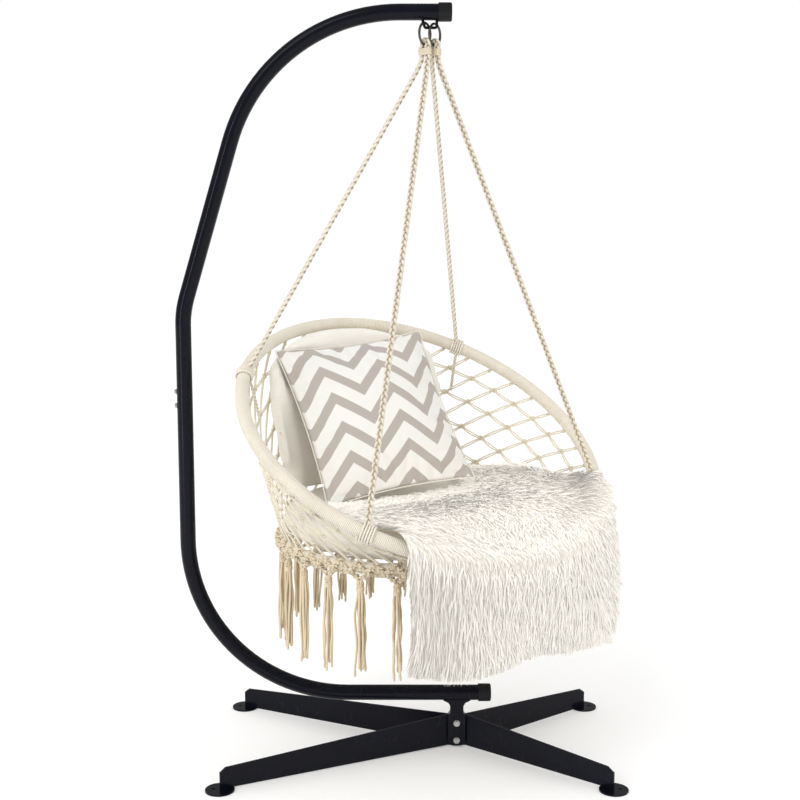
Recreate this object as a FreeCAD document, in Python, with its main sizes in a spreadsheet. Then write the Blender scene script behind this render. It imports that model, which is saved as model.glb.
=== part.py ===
import FreeCAD, Part

import math
import os

import Sketcher
from FreeCAD import Placement, Rotation, Vector

# Hanging bucket chair on a C-shaped tube stand, in millimetres and degrees.
# Origin: on the floor, midway between the four anchor holes. +Z is up, the post stands on
# the -X side, and the tube of the stand lies in the plane Y = 0.

DRIVING_SIZES = {
    # Frame tube
    "tube_radius": 20.0,
    "tube_wall": 1.5,
    "post_offset": 588.0,
    "seam_height": 891.0,
    "lean_start_height": 1147.8,
    "lean_angle": 16.73,
    "top_arm_height": 1879.0,
    "top_arm_reach": 86.0,
    "lower_arm_height": 147.0,
    "lower_arm_reach": 197.0,
    "post_bend_radius": 250.0,
    "top_bend_radius": 440.0,
    "bottom_bend_radius": 410.0,
    # Post joint
    "spigot_clearance": 0.1,
    "spigot_wall": 2.0,
    "spigot_length": 160.0,
    "joint_bolt_height": 925.5,
    "joint_bolt_spacing": 36.0,
    "joint_bolt_radius": 3.0,
    "joint_head_flats": 10.0,
    "joint_head_height": 4.0,
    "joint_washer_radius": 7.0,
    "joint_nut_height": 5.0,
    "joint_bolt_length": 14.0,
    # End caps
    "cap_radius": 23.0,
    "cap_length": 33.0,
    "cap_end_wall": 3.0,
    "cap_round": 4.5,
    "cap_clearance": 0.2,
    # Hanging loop and rings
    "hook_x": 32.0,
    "loop_rod_radius": 3.5,
    "loop_drop": 17.5,
    "loop_left_foot": 19.0,
    "loop_floor_left": 12.0,
    "loop_floor_right": 17.0,
    "loop_bend_radius": 5.0,
    "hanging_ring_radius": 26.0,
    "hanging_ring_wire": 3.0,
    "ring_pitch": 13.0,
    "ring_lean": 35.0,
    "ring_oblique_allowance": 0.5,
    # Hub bracket and base
    "hub_x": 108.0,
    "hub_width": 45.0,
    "hub_ear_wall": 5.0,
    "hub_neck_width": 35.0,
    "hub_flare_width": 72.0,
    "hub_bottom_height": 4.0,
    "hub_slot_height": 90.0,
    "hub_round": 15.0,
    "hub_slot_clearance": 0.2,
    "hub_bolt_low": 19.0,
    "hub_bolt_high": 66.0,
    "hub_bolt_radius": 4.0,
    "hub_head_flats": 13.0,
    "hub_head_height": 5.3,
    "hub_washer_radius": 8.5,
    "hub_nut_height": 6.5,
    "hub_bolt_overrun": 4.0,
    "bolt_hole_clearance": 0.3,
    "washer_thickness": 1.5,
    "leg_thickness": 5.0,
    "leg_hub_height": 84.0,
    "leg_foot_height": 52.0,
    "leg_chamfer": 12.0,
    "leg_bend_margin": 1.5,
    "foot_x": 480.0,
    "foot_y": 276.0,
    "foot_radius": 36.0,
    "foot_thickness": 4.0,
    "anchor_hole_radius": 4.5,
    "anchor_hole_offset": 16.0,
    # Ropes
    "rope_radius": 7.0,
    "eye_radius": 11.1,
    "eye_leg": 10.0,
    "rope_straight_start": 30.0,
    "whipping_height": 20.0,
    "whipping_wall": 2.5,
    "whipping_top_drop": 6.0,
    "front_rope_angle": 53.0,
    "back_rope_angle": 131.0,
    "rope_set_turn": 3.5,
    "lashing_cord_radius": 3.0,
    "lashing_pitch": 6.6,
    "lashing_turns": 5,
    "rope_tail_radius": 5.0,
    "rope_tail_length": 90.0,
    # Hoop and seat ring
    "facing_angle": 53.5,
    "hoop_radius": 477.0,
    "hoop_tilt": 31.5,
    "hoop_setback": 24.4,
    "hoop_height": 836.0,
    "hoop_tube_radius": 11.0,
    "hoop_wrap_radius": 17.6,
    "seat_ring_radius": 350.0,
    "seat_ring_setback": 47.0,
    "seat_ring_height": 565.0,
    "seat_ring_tube_radius": 8.0,
    "seat_wrap_radius": 12.0,
    "wrap_clearance": 0.1,
    "seat_gap": 0.3,
    # Net, border and fringe
    "net_columns": 40,
    "net_rows": 5,
    "net_cord": 6.0,
    "net_thickness": 5.0,
    "net_slant": 1.1,
    "net_ring_gap": 0.7,
    "seat_net_pitch": 48.0,
    "seat_net_cord": 7.0,
    "border_thickness": 8.0,
    "border_drop": 22.0,
    "scallop_radius": 26.0,
    "scallop_drop": 36.0,
    "tassel_count": 24,
    "tassel_knot_radius": 11.0,
    "tassel_neck_radius": 6.0,
    "tassel_hem_radius": 11.5,
    "tassel_length": 240.0,
    # Seat cushion
    "cushion_radius": 345.0,
    "cushion_base_radius": 300.0,
    "cushion_rim_radius": 295.0,
    "cushion_rim_rise": 90.0,
    "cushion_dish": 18.0,
    # Back cushion
    "back_half_angle": 41.5,
    "back_thickness": 70.0,
    "back_end_thickness": 44.0,
    "back_wall_gap": 4.0,
    # Throw pillow
    "pillow_half_width": 225.0,
    "pillow_half_depth": 65.0,
    "pillow_side_draw": 14.0,
    "pillow_back_reach": 221.1,
    "pillow_right": 15.0,
    "pillow_rise": 201.2,
    "pillow_yaw": 8.1,
    "pillow_lean": 32.0,
    "pillow_roll": 4.9,
    "pillow_rest_gap": 0.6,
    # Fur throw
    "throw_thickness": 22.0,
    "throw_hoop_clearance": 2.5,
    "throw_fall": 110.0,
}

doc = FreeCAD.newDocument("HangingChair")
sheet = doc.addObject("Spreadsheet::Sheet", "Sizes")
for row, (alias, value) in enumerate(DRIVING_SIZES.items(), start=1):
    sheet.set("A%d" % row, alias.replace("_", " "))
    sheet.set("B%d" % row, str(value))
    sheet.setAlias("B%d" % row, alias)
doc.recompute()

X_AXIS = Vector(1, 0, 0)
Y_AXIS = Vector(0, 1, 0)
Z_AXIS = Vector(0, 0, 1)
SUB_PARTS = []


def size(alias):
    """A driving dimension, read from the spreadsheet."""
    return float(sheet.get(alias))


def count(alias):
    """A driving count, read from the spreadsheet."""
    return int(round(size(alias)))


def sub_part(obj, label):
    """Label a finished piece and list it for export."""
    obj.Label = label
    SUB_PARTS.append(obj)
    return obj


def bind(obj, **expressions):
    """Bind an object's properties to spreadsheet expressions."""
    for prop, expression in expressions.items():
        obj.setExpression(prop.replace("__", "."), expression)
    return obj


def shaped(label, shape, placement=None):
    """A piece whose shape is worked out from the sheet."""
    feature = doc.addObject("Part::Feature", label)
    feature.Shape = shape
    if placement is not None:
        feature.Placement = placement.multiply(shape.Placement)
    return sub_part(feature, label)


# Sketch and body helpers

def new_body(label):
    return sub_part(doc.addObject("PartDesign::Body", label), label)


def sketch_on(body, name, role, offset=None):
    """A sketch on one of the body's own origin planes."""
    sketch = body.newObject("Sketcher::SketchObject", name)
    plane = [item for item in body.Origin.OriginFeatures if item.Role == role][0]
    sketch.AttachmentSupport = [(plane, "")]
    sketch.MapMode = "FlatFace"
    if offset is not None:
        sketch.AttachmentOffset = Placement(offset, Rotation())
    return sketch


def add_chain(sketch, curves, closed):
    """Add curves end to end, joined by coincident constraints. A sketch numbers the ends of
    an arc anticlockwise, so an arc that turns clockwise is joined by its ends in reverse."""
    ends = []
    for curve in curves:
        index = sketch.addGeometry(curve, False)
        start = curve.value(curve.FirstParameter)
        ends.append((index, 1, 2) if start.isEqual(sketch.getPoint(index, 1), 1e-6)
                    else (index, 2, 1))
    pairs = list(zip(ends, ends[1:]))
    if closed:
        pairs.append((ends[-1], ends[0]))
    for (index, _, tail), (following, head, _) in pairs:
        sketch.addConstraint(Sketcher.Constraint("Coincident", index, tail, following, head))


def add_outline(sketch, corners):
    """Add a closed outline of straight lines."""
    curves = []
    for start, end in zip(corners, corners[1:] + corners[:1]):
        curves.append(Part.LineSegment(start, end))
    add_chain(sketch, curves, True)


def add_circle(sketch, centre, radius_expression):
    """Add a circle whose radius follows the spreadsheet."""
    index = sketch.addGeometry(Part.Circle(centre, Z_AXIS, 1.0), False)
    sketch.addConstraint(Sketcher.Constraint("DistanceX", -1, 1, index, 3, centre.x))
    sketch.addConstraint(Sketcher.Constraint("DistanceY", -1, 1, index, 3, centre.y))
    radius = sketch.addConstraint(Sketcher.Constraint("Radius", index, 1.0))
    sketch.setExpression("Constraints[%d]" % radius, radius_expression)
    return index


def pad(body, sketch, length_expression, symmetric=False):
    feature = body.newObject("PartDesign::Pad", sketch.Name + "_pad")
    feature.Profile = sketch
    feature.Midplane = symmetric
    feature.setExpression("Length", length_expression)
    sketch.Visibility = False
    doc.recompute()
    return feature


def pocket_through(body, sketch):
    """Cut a sketch through the whole body, both ways."""
    feature = body.newObject("PartDesign::Pocket", sketch.Name + "_pocket")
    feature.Profile = sketch
    feature.Type = "ThroughAll"
    feature.Midplane = True
    doc.recompute()
    return feature


# Routes of straight runs joined by tangent arcs

def route_curves(corners, radii):
    """Lines and arcs along the corners, each inner corner rounded to its radius."""
    curves = []
    start = corners[0]
    for index, radius in enumerate(radii, start=1):
        before = (corners[index - 1] - corners[index]).normalize()
        after = (corners[index + 1] - corners[index]).normalize()
        half_turn = (math.pi - before.getAngle(after)) / 2
        reach = radius * math.tan(half_turn)
        arc_start = corners[index] + before * reach
        arc_end = corners[index] + after * reach
        inward = (before + after).normalize()
        centre = corners[index] + inward * (radius / math.cos(half_turn))
        arc_middle = centre - inward * radius
        curves.append(Part.LineSegment(start, arc_start))
        curves.append(Part.Arc(arc_start, arc_middle, arc_end))
        start = arc_end
    curves.append(Part.LineSegment(start, corners[-1]))
    return curves


def wire_of(curves):
    return Part.Wire([curve.toShape() for curve in curves])


def rod_along(wire, radius):
    """A solid round rod swept along a wire."""
    start = wire.Edges[0].valueAt(wire.Edges[0].FirstParameter)
    heading = wire.Edges[0].tangentAt(wire.Edges[0].FirstParameter)
    if (start - wire.OrderedVertexes[0].Point).Length > 1e-6:
        start = wire.OrderedVertexes[0].Point
    profile = Part.Wire([Part.makeCircle(radius, start, heading)])
    return wire.makePipeShell([profile], True, False)


# Fasteners, built along +Z with the seat of the head at zero

def turned(obj, placement):
    obj.Placement = placement
    return obj


def hex_bolt(name, prefix, length_expression, seat):
    """A hexagon-head bolt whose washer seats on the plane of the placement."""
    head = doc.addObject("Part::Prism", name + "_head")
    head.Polygon = 6
    bind(head, Circumradius="Sizes.%s_head_flats / 2 / cos(30)" % prefix,
         Height="Sizes.%s_head_height" % prefix)
    head.Placement.Base = Vector(0, 0, -size("washer_thickness") - size(prefix + "_head_height"))
    shank = doc.addObject("Part::Cylinder", name + "_shank")
    bind(shank, Radius="Sizes.%s_bolt_radius" % prefix,
         Height="Sizes.washer_thickness + " + length_expression)
    shank.Placement.Base = Vector(0, 0, -size("washer_thickness"))
    bolt = doc.addObject("Part::Fuse", name)
    bolt.Base = head
    bolt.Tool = shank
    return turned(bolt, seat)


def ring_plate(name, outer_expression, bore_expression, height_expression, seat):
    """A washer, from two cylinders."""
    outer = doc.addObject("Part::Cylinder", name + "_outer")
    bind(outer, Radius=outer_expression, Height=height_expression)
    bore = doc.addObject("Part::Cylinder", name + "_bore")
    bind(bore, Radius=bore_expression, Height=height_expression)
    washer = doc.addObject("Part::Cut", name)
    washer.Base = outer
    washer.Tool = bore
    return turned(washer, seat)


def hex_nut(name, prefix, seat):
    """A hexagon nut on the plane of the placement."""
    body = doc.addObject("Part::Prism", name + "_body")
    body.Polygon = 6
    bind(body, Circumradius="Sizes.%s_head_flats / 2 / cos(30)" % prefix,
         Height="Sizes.%s_nut_height" % prefix)
    bore = doc.addObject("Part::Cylinder", name + "_bore")
    bind(bore, Radius="Sizes.%s_bolt_radius + 0.05" % prefix,
         Height="Sizes.%s_nut_height" % prefix)
    nut = doc.addObject("Part::Cut", name)
    nut.Base = body
    nut.Tool = bore
    return turned(nut, seat)


def group(label, members):
    """Identical pieces kept as separate solids under one name."""
    compound = doc.addObject("Part::Compound", label)
    compound.Links = members
    return sub_part(compound, label)


# Frame tubes

def frame_tube(label, corners, radii, start_height):
    """A bent round tube, swept from the seam of the post."""
    body = new_body(label)
    path = sketch_on(body, label + "_path", "XZ_Plane")
    add_chain(path, route_curves(corners, radii), False)
    ring = sketch_on(body, label + "_section", "XY_Plane", Vector(0, 0, start_height))
    add_circle(ring, Vector(corners[0].x, 0, 0), "Sizes.tube_radius")
    add_circle(ring, Vector(corners[0].x, 0, 0), "Sizes.tube_radius - Sizes.tube_wall")
    doc.recompute()
    sweep = body.newObject("PartDesign::AdditivePipe", label + "_sweep")
    sweep.Profile = ring
    sweep.Spine = (path, ["Edge%d" % (number + 1) for number in range(path.GeometryCount)])
    doc.recompute()
    return body


def upper_tube_corners():
    post_x = -size("post_offset")
    lean_start = size("lean_start_height")
    arm = size("top_arm_height")
    lean_x = post_x + (arm - lean_start) * math.tan(math.radians(size("lean_angle")))
    return [
        Vector(post_x, size("seam_height"), 0),
        Vector(post_x, lean_start, 0),
        Vector(lean_x, arm, 0),
        Vector(size("top_arm_reach") - size("cap_end_wall"), arm, 0),
    ]


def lower_tube_corners():
    post_x = -size("post_offset")
    arm = size("lower_arm_height")
    return [
        Vector(post_x, size("seam_height"), 0),
        Vector(post_x, arm, 0),
        Vector(size("lower_arm_reach") - size("cap_end_wall"), arm, 0),
    ]


def joint_bolt_heights():
    half = size("joint_bolt_spacing") / 2
    return [size("joint_bolt_height") - half, size("joint_bolt_height") + half]


def drill_outer_wall(body, name):
    """Clearance holes for the joint bolts, through the outer wall alone."""
    holes = sketch_on(body, name, "YZ_Plane", Vector(0, 0, -size("post_offset")))
    for height in joint_bolt_heights():
        add_circle(holes, Vector(0, height, 0), "Sizes.joint_bolt_radius + Sizes.bolt_hole_clearance")
    doc.recompute()
    drill = body.newObject("PartDesign::Pocket", name + "_drill")
    drill.Profile = holes
    drill.setExpression("Length", "Sizes.tube_radius + 1")
    doc.recompute()
    return drill


upper_tube = frame_tube(
    "upper_frame_tube",
    upper_tube_corners(),
    [size("post_bend_radius"), size("top_bend_radius")],
    size("seam_height"),
)
drill_outer_wall(upper_tube, "upper_joint_holes")

lower_tube = frame_tube(
    "lower_frame_tube",
    lower_tube_corners(),
    [size("bottom_bend_radius")],
    size("seam_height"),
)


def make_spigot():
    body = new_body("coupling_spigot")
    section = sketch_on(body, "spigot_section", "XY_Plane", Vector(0, 0, size("seam_height")))
    centre = Vector(-size("post_offset"), 0, 0)
    outer = "Sizes.tube_radius - Sizes.tube_wall - Sizes.spigot_clearance"
    add_circle(section, centre, outer)
    add_circle(section, centre, outer + " - Sizes.spigot_wall")
    pad(body, section, "Sizes.spigot_length", symmetric=True)
    drill_outer_wall(body, "spigot_joint_holes")
    return body


make_spigot()


def make_joint_fasteners():
    to_inside = Rotation(Y_AXIS, 90)
    tube_face = -size("post_offset") - size("tube_radius")
    bore_radius = (size("tube_radius") - size("tube_wall") - size("spigot_clearance")
                   - size("spigot_wall"))
    nut_corner = size("joint_head_flats") / 2 / math.cos(math.radians(30))
    nut_face = -size("post_offset") - math.sqrt(bore_radius ** 2 - nut_corner ** 2) + 0.1
    bolts, washers, nuts = [], [], []
    for number, height in enumerate(joint_bolt_heights(), start=1):
        seat = Placement(Vector(tube_face, 0, height), to_inside)
        bolts.append(hex_bolt("joint_bolt_%d" % number, "joint", "Sizes.joint_bolt_length", seat))
        washer_seat = Placement(Vector(tube_face - size("washer_thickness"), 0, height), to_inside)
        washers.append(ring_plate(
            "joint_washer_%d" % number,
            "Sizes.joint_washer_radius",
            "Sizes.joint_bolt_radius + Sizes.bolt_hole_clearance",
            "Sizes.washer_thickness",
            washer_seat,
        ))
        nuts.append(hex_nut("joint_nut_%d" % number, "joint",
                            Placement(Vector(nut_face, 0, height), to_inside)))
    group("joint_bolts", bolts)
    group("joint_washers", washers)
    group("joint_nuts", nuts)


make_joint_fasteners()


# End caps

def end_cap(label, arm_height, reach):
    """A moulded cap pushed over the end of a tube."""
    body = new_body(label)
    mouth = reach - size("cap_length")
    disc = sketch_on(body, label + "_disc", "YZ_Plane", Vector(0, 0, mouth))
    add_circle(disc, Vector(0, arm_height, 0), "Sizes.cap_radius")
    pad(body, disc, "Sizes.cap_length")
    bore = sketch_on(body, label + "_bore", "YZ_Plane", Vector(0, 0, mouth))
    add_circle(bore, Vector(0, arm_height, 0), "Sizes.tube_radius + Sizes.cap_clearance")
    hollow = body.newObject("PartDesign::Pocket", label + "_hollow")
    hollow.Profile = bore
    hollow.Reversed = True
    hollow.setExpression("Length", "Sizes.cap_length - Sizes.cap_end_wall")
    doc.recompute()
    rims = []
    for number, edge in enumerate(hollow.Shape.Edges, start=1):
        if len(edge.Vertexes) == 1 and abs(edge.CenterOfMass.x - reach) < 1e-6:
            rims.append("Edge%d" % number)
    softened = body.newObject("PartDesign::Fillet", label + "_round")
    softened.Base = (hollow, rims)
    softened.setExpression("Radius", "Sizes.cap_round")
    doc.recompute()
    return body


end_cap("top_end_cap", size("top_arm_height"), size("top_arm_reach"))
end_cap("bottom_end_cap", size("lower_arm_height"), size("lower_arm_reach"))


# Hanging loop, a bent rod welded under the top arm

def arm_envelope(name, height):
    """The outside of a horizontal arm, used to cut what is welded to it."""
    envelope = doc.addObject("Part::Cylinder", name)
    bind(envelope, Radius="Sizes.tube_radius")
    envelope.Height = 400
    envelope.Placement = Placement(Vector(-200, 0, height), Rotation(Y_AXIS, 90))
    return envelope


LOOP_ROD_HEIGHT = size("top_arm_height") - size("tube_radius") - size("loop_drop")


def make_hanging_loop():
    arm = size("top_arm_height")
    weld = arm - size("tube_radius") + 4
    middle = size("hook_x")
    corners = [
        Vector(middle - size("loop_left_foot"), 0, weld),
        Vector(middle - size("loop_floor_left"), 0, LOOP_ROD_HEIGHT),
        Vector(middle + size("loop_floor_right"), 0, LOOP_ROD_HEIGHT),
        Vector(middle + size("loop_floor_right"), 0, weld),
    ]
    radius = size("loop_bend_radius")
    rod = doc.addObject("Part::Feature", "loop_rod")
    rod.Shape = rod_along(wire_of(route_curves(corners, [radius, radius])),
                          size("loop_rod_radius"))
    loop = doc.addObject("Part::Cut", "hanging_loop")
    loop.Base = rod
    loop.Tool = arm_envelope("loop_weld_face", arm)
    return sub_part(loop, "hanging_loop")


make_hanging_loop()


# Hub bracket, a fork welded under the lower arm

def make_hub_bracket():
    body = new_body("hub_bracket")
    middle = size("hub_x")
    low = size("hub_bottom_height")
    slot_top = size("hub_slot_height")
    half_ear = size("hub_width") / 2
    half_neck = size("hub_neck_width") / 2
    half_flare = size("hub_flare_width") / 2
    arm = size("lower_arm_height")
    underside = arm - size("tube_radius")
    half_outline = [
        (half_ear, low),
        (half_ear, slot_top - 3),
        (half_neck, slot_top + 5),
        (half_neck, underside - 14),
        (half_neck + 5, underside - 6),
        (half_flare, underside + 1),
        (half_flare, arm - 5),
    ]
    right = [Vector(middle + x, z, 0) for x, z in half_outline]
    left = [Vector(middle - x, z, 0) for x, z in reversed(half_outline)]
    outline = sketch_on(body, "hub_outline", "XZ_Plane")
    add_outline(outline, right + left)
    depth = "2 * (Sizes.leg_thickness + Sizes.hub_slot_clearance + Sizes.hub_ear_wall)"
    pad(body, outline, depth, symmetric=True)
    slot = sketch_on(body, "hub_slot", "YZ_Plane", Vector(0, 0, middle))
    half_slot = size("leg_thickness") + size("hub_slot_clearance")
    add_outline(slot, [
        Vector(-half_slot, low - 10, 0),
        Vector(half_slot, low - 10, 0),
        Vector(half_slot, slot_top, 0),
        Vector(-half_slot, slot_top, 0),
    ])
    pocket_through(body, slot)
    saddle = sketch_on(body, "hub_saddle", "YZ_Plane", Vector(0, 0, middle))
    add_circle(saddle, Vector(0, arm, 0), "Sizes.tube_radius")
    pocket_through(body, saddle)
    bores = sketch_on(body, "hub_bores", "XZ_Plane")
    for height in (size("hub_bolt_low"), size("hub_bolt_high")):
        add_circle(bores, Vector(middle, height, 0), "Sizes.hub_bolt_radius + Sizes.bolt_hole_clearance")
    drilled = pocket_through(body, bores)
    corners = []
    for number, edge in enumerate(drilled.Shape.Edges, start=1):
        centre = edge.CenterOfMass
        level = abs(centre.z - low) < 1e-6 and len(edge.Vertexes) == 2
        if level and abs(abs(centre.x - middle) - half_ear) < 1e-6:
            corners.append("Edge%d" % number)
    rounded = body.newObject("PartDesign::Fillet", "hub_rounding")
    rounded.Base = (drilled, corners)
    rounded.setExpression("Radius", "Sizes.hub_round")
    doc.recompute()


make_hub_bracket()


# Leg plates: each is one plate on edge, bent at the hub into two legs

def offset_polyline(points, distance):
    """Points of a plan polyline moved sideways by a distance, with mitred corners."""
    moved = []
    for index, point in enumerate(points):
        sides = []
        if index > 0:
            sides.append((point - points[index - 1]).normalize())
        if index < len(points) - 1:
            sides.append((points[index + 1] - point).normalize())
        normals = [Vector(-side.y, side.x, 0) for side in sides]
        average = normals[0] + normals[-1]
        average.normalize()
        moved.append(point + average * (distance / average.dot(normals[0])))
    return moved


def leg_plate(label, side):
    """Two legs in one bent plate; side is -1 for the front and +1 for the rear."""
    body = new_body(label)
    half = size("leg_thickness") / 2
    bend = size("hub_width") / 2 + size("leg_bend_margin")
    base = size("foot_thickness")
    line = [
        Vector(-size("foot_x"), side * size("foot_y"), 0),
        Vector(size("hub_x") - bend, side * half, 0),
        Vector(size("hub_x") + bend, side * half, 0),
        Vector(size("foot_x"), side * size("foot_y"), 0),
    ]
    plan = sketch_on(body, label + "_plan", "XY_Plane", Vector(0, 0, base))
    add_outline(plan, offset_polyline(line, half) + offset_polyline(line, -half)[::-1])
    pad(body, plan, "Sizes.leg_hub_height")
    top = base + size("leg_hub_height")
    foot_top = base + size("leg_foot_height")
    chamfer = size("leg_chamfer")
    for direction in (-1, 1):
        hub_end = size("hub_x") + direction * bend
        foot_end = direction * size("foot_x")
        slope = (top - foot_top) / (hub_end - foot_end)
        outside = foot_end + direction * 20
        taper = sketch_on(body, "%s_taper_%d" % (label, direction + 1), "XZ_Plane")
        add_outline(taper, [
            Vector(hub_end, top, 0),
            Vector(foot_end - direction * chamfer, foot_top - slope * direction * chamfer, 0),
            Vector(foot_end, foot_top - 0.8 * chamfer, 0),
            Vector(outside, foot_top - 0.8 * chamfer, 0),
            Vector(outside, top + 20, 0),
            Vector(hub_end, top + 20, 0),
        ])
        pocket_through(body, taper)
    bores = sketch_on(body, label + "_bores", "XZ_Plane")
    for height in (size("hub_bolt_low"), size("hub_bolt_high")):
        add_circle(bores, Vector(size("hub_x"), height, 0),
                   "Sizes.hub_bolt_radius + Sizes.bolt_hole_clearance")
    pocket_through(body, bores)


leg_plate("front_leg_plate", -1)
leg_plate("rear_leg_plate", 1)


# Foot plates: round discs, each with an anchor hole outboard of the leg

def foot_plate(label, end, side):
    disc = doc.addObject("Part::Cylinder", label + "_disc")
    bind(disc, Radius="Sizes.foot_radius", Height="Sizes.foot_thickness")
    disc.Placement.Base = Vector(end * size("foot_x"), side * size("foot_y"), 0)
    hole = doc.addObject("Part::Cylinder", label + "_hole")
    bind(hole, Radius="Sizes.anchor_hole_radius", Height="Sizes.foot_thickness")
    hole_x = end * (size("foot_x") + size("anchor_hole_offset"))
    hole.Placement.Base = Vector(hole_x, side * size("foot_y"), 0)
    plate = doc.addObject("Part::Cut", label)
    plate.Base = disc
    plate.Tool = hole
    return sub_part(plate, label)


for end_name, end_sign in (("post", -1), ("open", 1)):
    for side_name, side_sign in (("front", -1), ("rear", 1)):
        foot_plate("%s_%s_foot_plate" % (side_name, end_name), end_sign, side_sign)


def make_hub_fasteners():
    to_rear = Rotation(X_AXIS, -90)
    ear_face = size("leg_thickness") + size("hub_slot_clearance") + size("hub_ear_wall")
    washer = size("washer_thickness")
    length = ("2 * (Sizes.leg_thickness + Sizes.hub_slot_clearance + Sizes.hub_ear_wall)"
              " + Sizes.washer_thickness + Sizes.hub_nut_height + Sizes.hub_bolt_overrun")
    bolts, washers, nuts = [], [], []
    for number, name in enumerate(("hub_bolt_low", "hub_bolt_high"), start=1):
        height = size(name)
        x = size("hub_x")
        bolts.append(hex_bolt("hub_bolt_%d" % number, "hub", length,
                              Placement(Vector(x, -ear_face, height), to_rear)))
        for face in (-ear_face - washer, ear_face):
            washers.append(ring_plate(
                "hub_washer_%d_%d" % (number, int(face > 0)),
                "Sizes.hub_washer_radius",
                "Sizes.hub_bolt_radius + Sizes.bolt_hole_clearance",
                "Sizes.washer_thickness",
                Placement(Vector(x, face, height), to_rear),
            ))
        nuts.append(hex_nut("hub_nut_%d" % number, "hub",
                            Placement(Vector(x, ear_face + washer, height), to_rear)))
    group("hub_bolts", bolts)
    group("hub_washers", washers)
    group("hub_nuts", nuts)


make_hub_fasteners()


# Chair frame of reference: x to the front of the chair, y to its left, z up, with its
# vertical axis through the middle of the hanging loop

CHAIR = Placement(Vector(size("hook_x"), 0, 0), Rotation(Z_AXIS, -size("facing_angle")))


def hanging_rings():
    """Two welded steel rings that lie side by side on the rod of the loop."""
    turn = math.radians(size("facing_angle"))
    along_rod = Vector(math.cos(turn), math.sin(turn), 0) * (size("ring_pitch") / 2)
    lean = math.radians(size("ring_lean"))
    rod = size("loop_rod_radius")
    reach = (size("hanging_ring_radius") - size("hanging_ring_wire") - rod
             - size("seat_gap") - size("ring_oblique_allowance"))
    inward = along_rod.x / (reach * math.sin(lean))
    heading = Vector(-inward, math.sqrt(1 - inward ** 2), 0)
    centre_height = LOOP_ROD_HEIGHT - reach * math.cos(lean)
    across = Rotation(Z_AXIS, heading.cross(Z_AXIS))
    centres = []
    for name, sign in (("left", 1), ("right", -1)):
        centre = (along_rod + heading * (reach * math.sin(lean))) * sign
        centre.z = centre_height
        ring = doc.addObject("Part::Torus", name + "_hanging_ring")
        bind(ring, Radius1="Sizes.hanging_ring_radius", Radius2="Sizes.hanging_ring_wire")
        ring.Placement = CHAIR.multiply(Placement(centre, across))
        sub_part(ring, name + "_hanging_ring")
        centres.append(centre)
    return centres


RING_CENTRES = hanging_rings()
SWING_HEIGHT = RING_CENTRES[0].z - size("hanging_ring_radius")
print("loop rod height %.2f, swing axis height %.2f" % (LOOP_ROD_HEIGHT, SWING_HEIGHT))


# Hoop and seat ring: a steel ring inside a cord wrapping

def wrapped_ring(frame_label, wrap_label, ring, tube, wrap, placement):
    """A steel ring and the cord wrapping round it."""
    core = doc.addObject("Part::Torus", frame_label)
    bind(core, Radius1="Sizes." + ring, Radius2="Sizes." + tube)
    core.Placement = placement
    sub_part(core, frame_label)
    outer = doc.addObject("Part::Torus", wrap_label + "_outer")
    bind(outer, Radius1="Sizes." + ring, Radius2="Sizes." + wrap)
    outer.Placement = placement
    bore = doc.addObject("Part::Torus", wrap_label + "_bore")
    bind(bore, Radius1="Sizes." + ring, Radius2="Sizes.%s + Sizes.wrap_clearance" % tube)
    bore.Placement = placement
    wrapping = doc.addObject("Part::Cut", wrap_label)
    wrapping.Base = outer
    wrapping.Tool = bore
    sub_part(wrapping, wrap_label)


HOOP_CENTRE = Vector(-size("hoop_setback"), 0, size("hoop_height"))
SEAT_CENTRE = Vector(-size("seat_ring_setback"), 0, size("seat_ring_height"))
TILT = math.radians(size("hoop_tilt"))
HOOP_FORWARD = Vector(math.cos(TILT), 0, -math.sin(TILT))

wrapped_ring(
    "hoop_frame",
    "hoop_wrapping",
    "hoop_radius",
    "hoop_tube_radius",
    "hoop_wrap_radius",
    CHAIR.multiply(Placement(HOOP_CENTRE, Rotation(Y_AXIS, size("hoop_tilt")))),
)
wrapped_ring(
    "seat_ring_frame",
    "seat_ring_wrapping",
    "seat_ring_radius",
    "seat_ring_tube_radius",
    "seat_wrap_radius",
    CHAIR.multiply(Placement(SEAT_CENTRE, Rotation())),
)


def hoop_point(angle):
    """A point of the hoop's centre line; 0 is the front and 90 the chair's left."""
    turn = math.radians(angle)
    spoke = HOOP_FORWARD * math.cos(turn) + Y_AXIS * math.sin(turn)
    return HOOP_CENTRE + spoke * size("hoop_radius")


def hoop_tangent(angle):
    turn = math.radians(angle)
    return HOOP_FORWARD * -math.sin(turn) + Y_AXIS * math.cos(turn)


def seat_point(angle):
    """A point of the seat ring's centre line."""
    turn = math.radians(angle)
    return SEAT_CENTRE + Vector(math.cos(turn), math.sin(turn), 0) * size("seat_ring_radius")


# Ropes: each pair is one rope doubled over its hanging ring and bound below it

def rope_eye(label, sign):
    """The bight of rope over the lower wire of a hanging ring."""
    radius = size("eye_radius")
    side = RING_CENTRES[0].y * sign
    low = SWING_HEIGHT - size("eye_leg")
    front = Vector(radius, side, SWING_HEIGHT)
    back = Vector(-radius, side, SWING_HEIGHT)
    crown = Vector(0, side, SWING_HEIGHT + radius)
    route = wire_of([
        Part.LineSegment(Vector(radius, side, low), front),
        Part.Arc(front, crown, back),
        Part.LineSegment(back, Vector(-radius, side, low)),
    ])
    return shaped(label, rod_along(route, size("rope_radius")), CHAIR)


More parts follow.
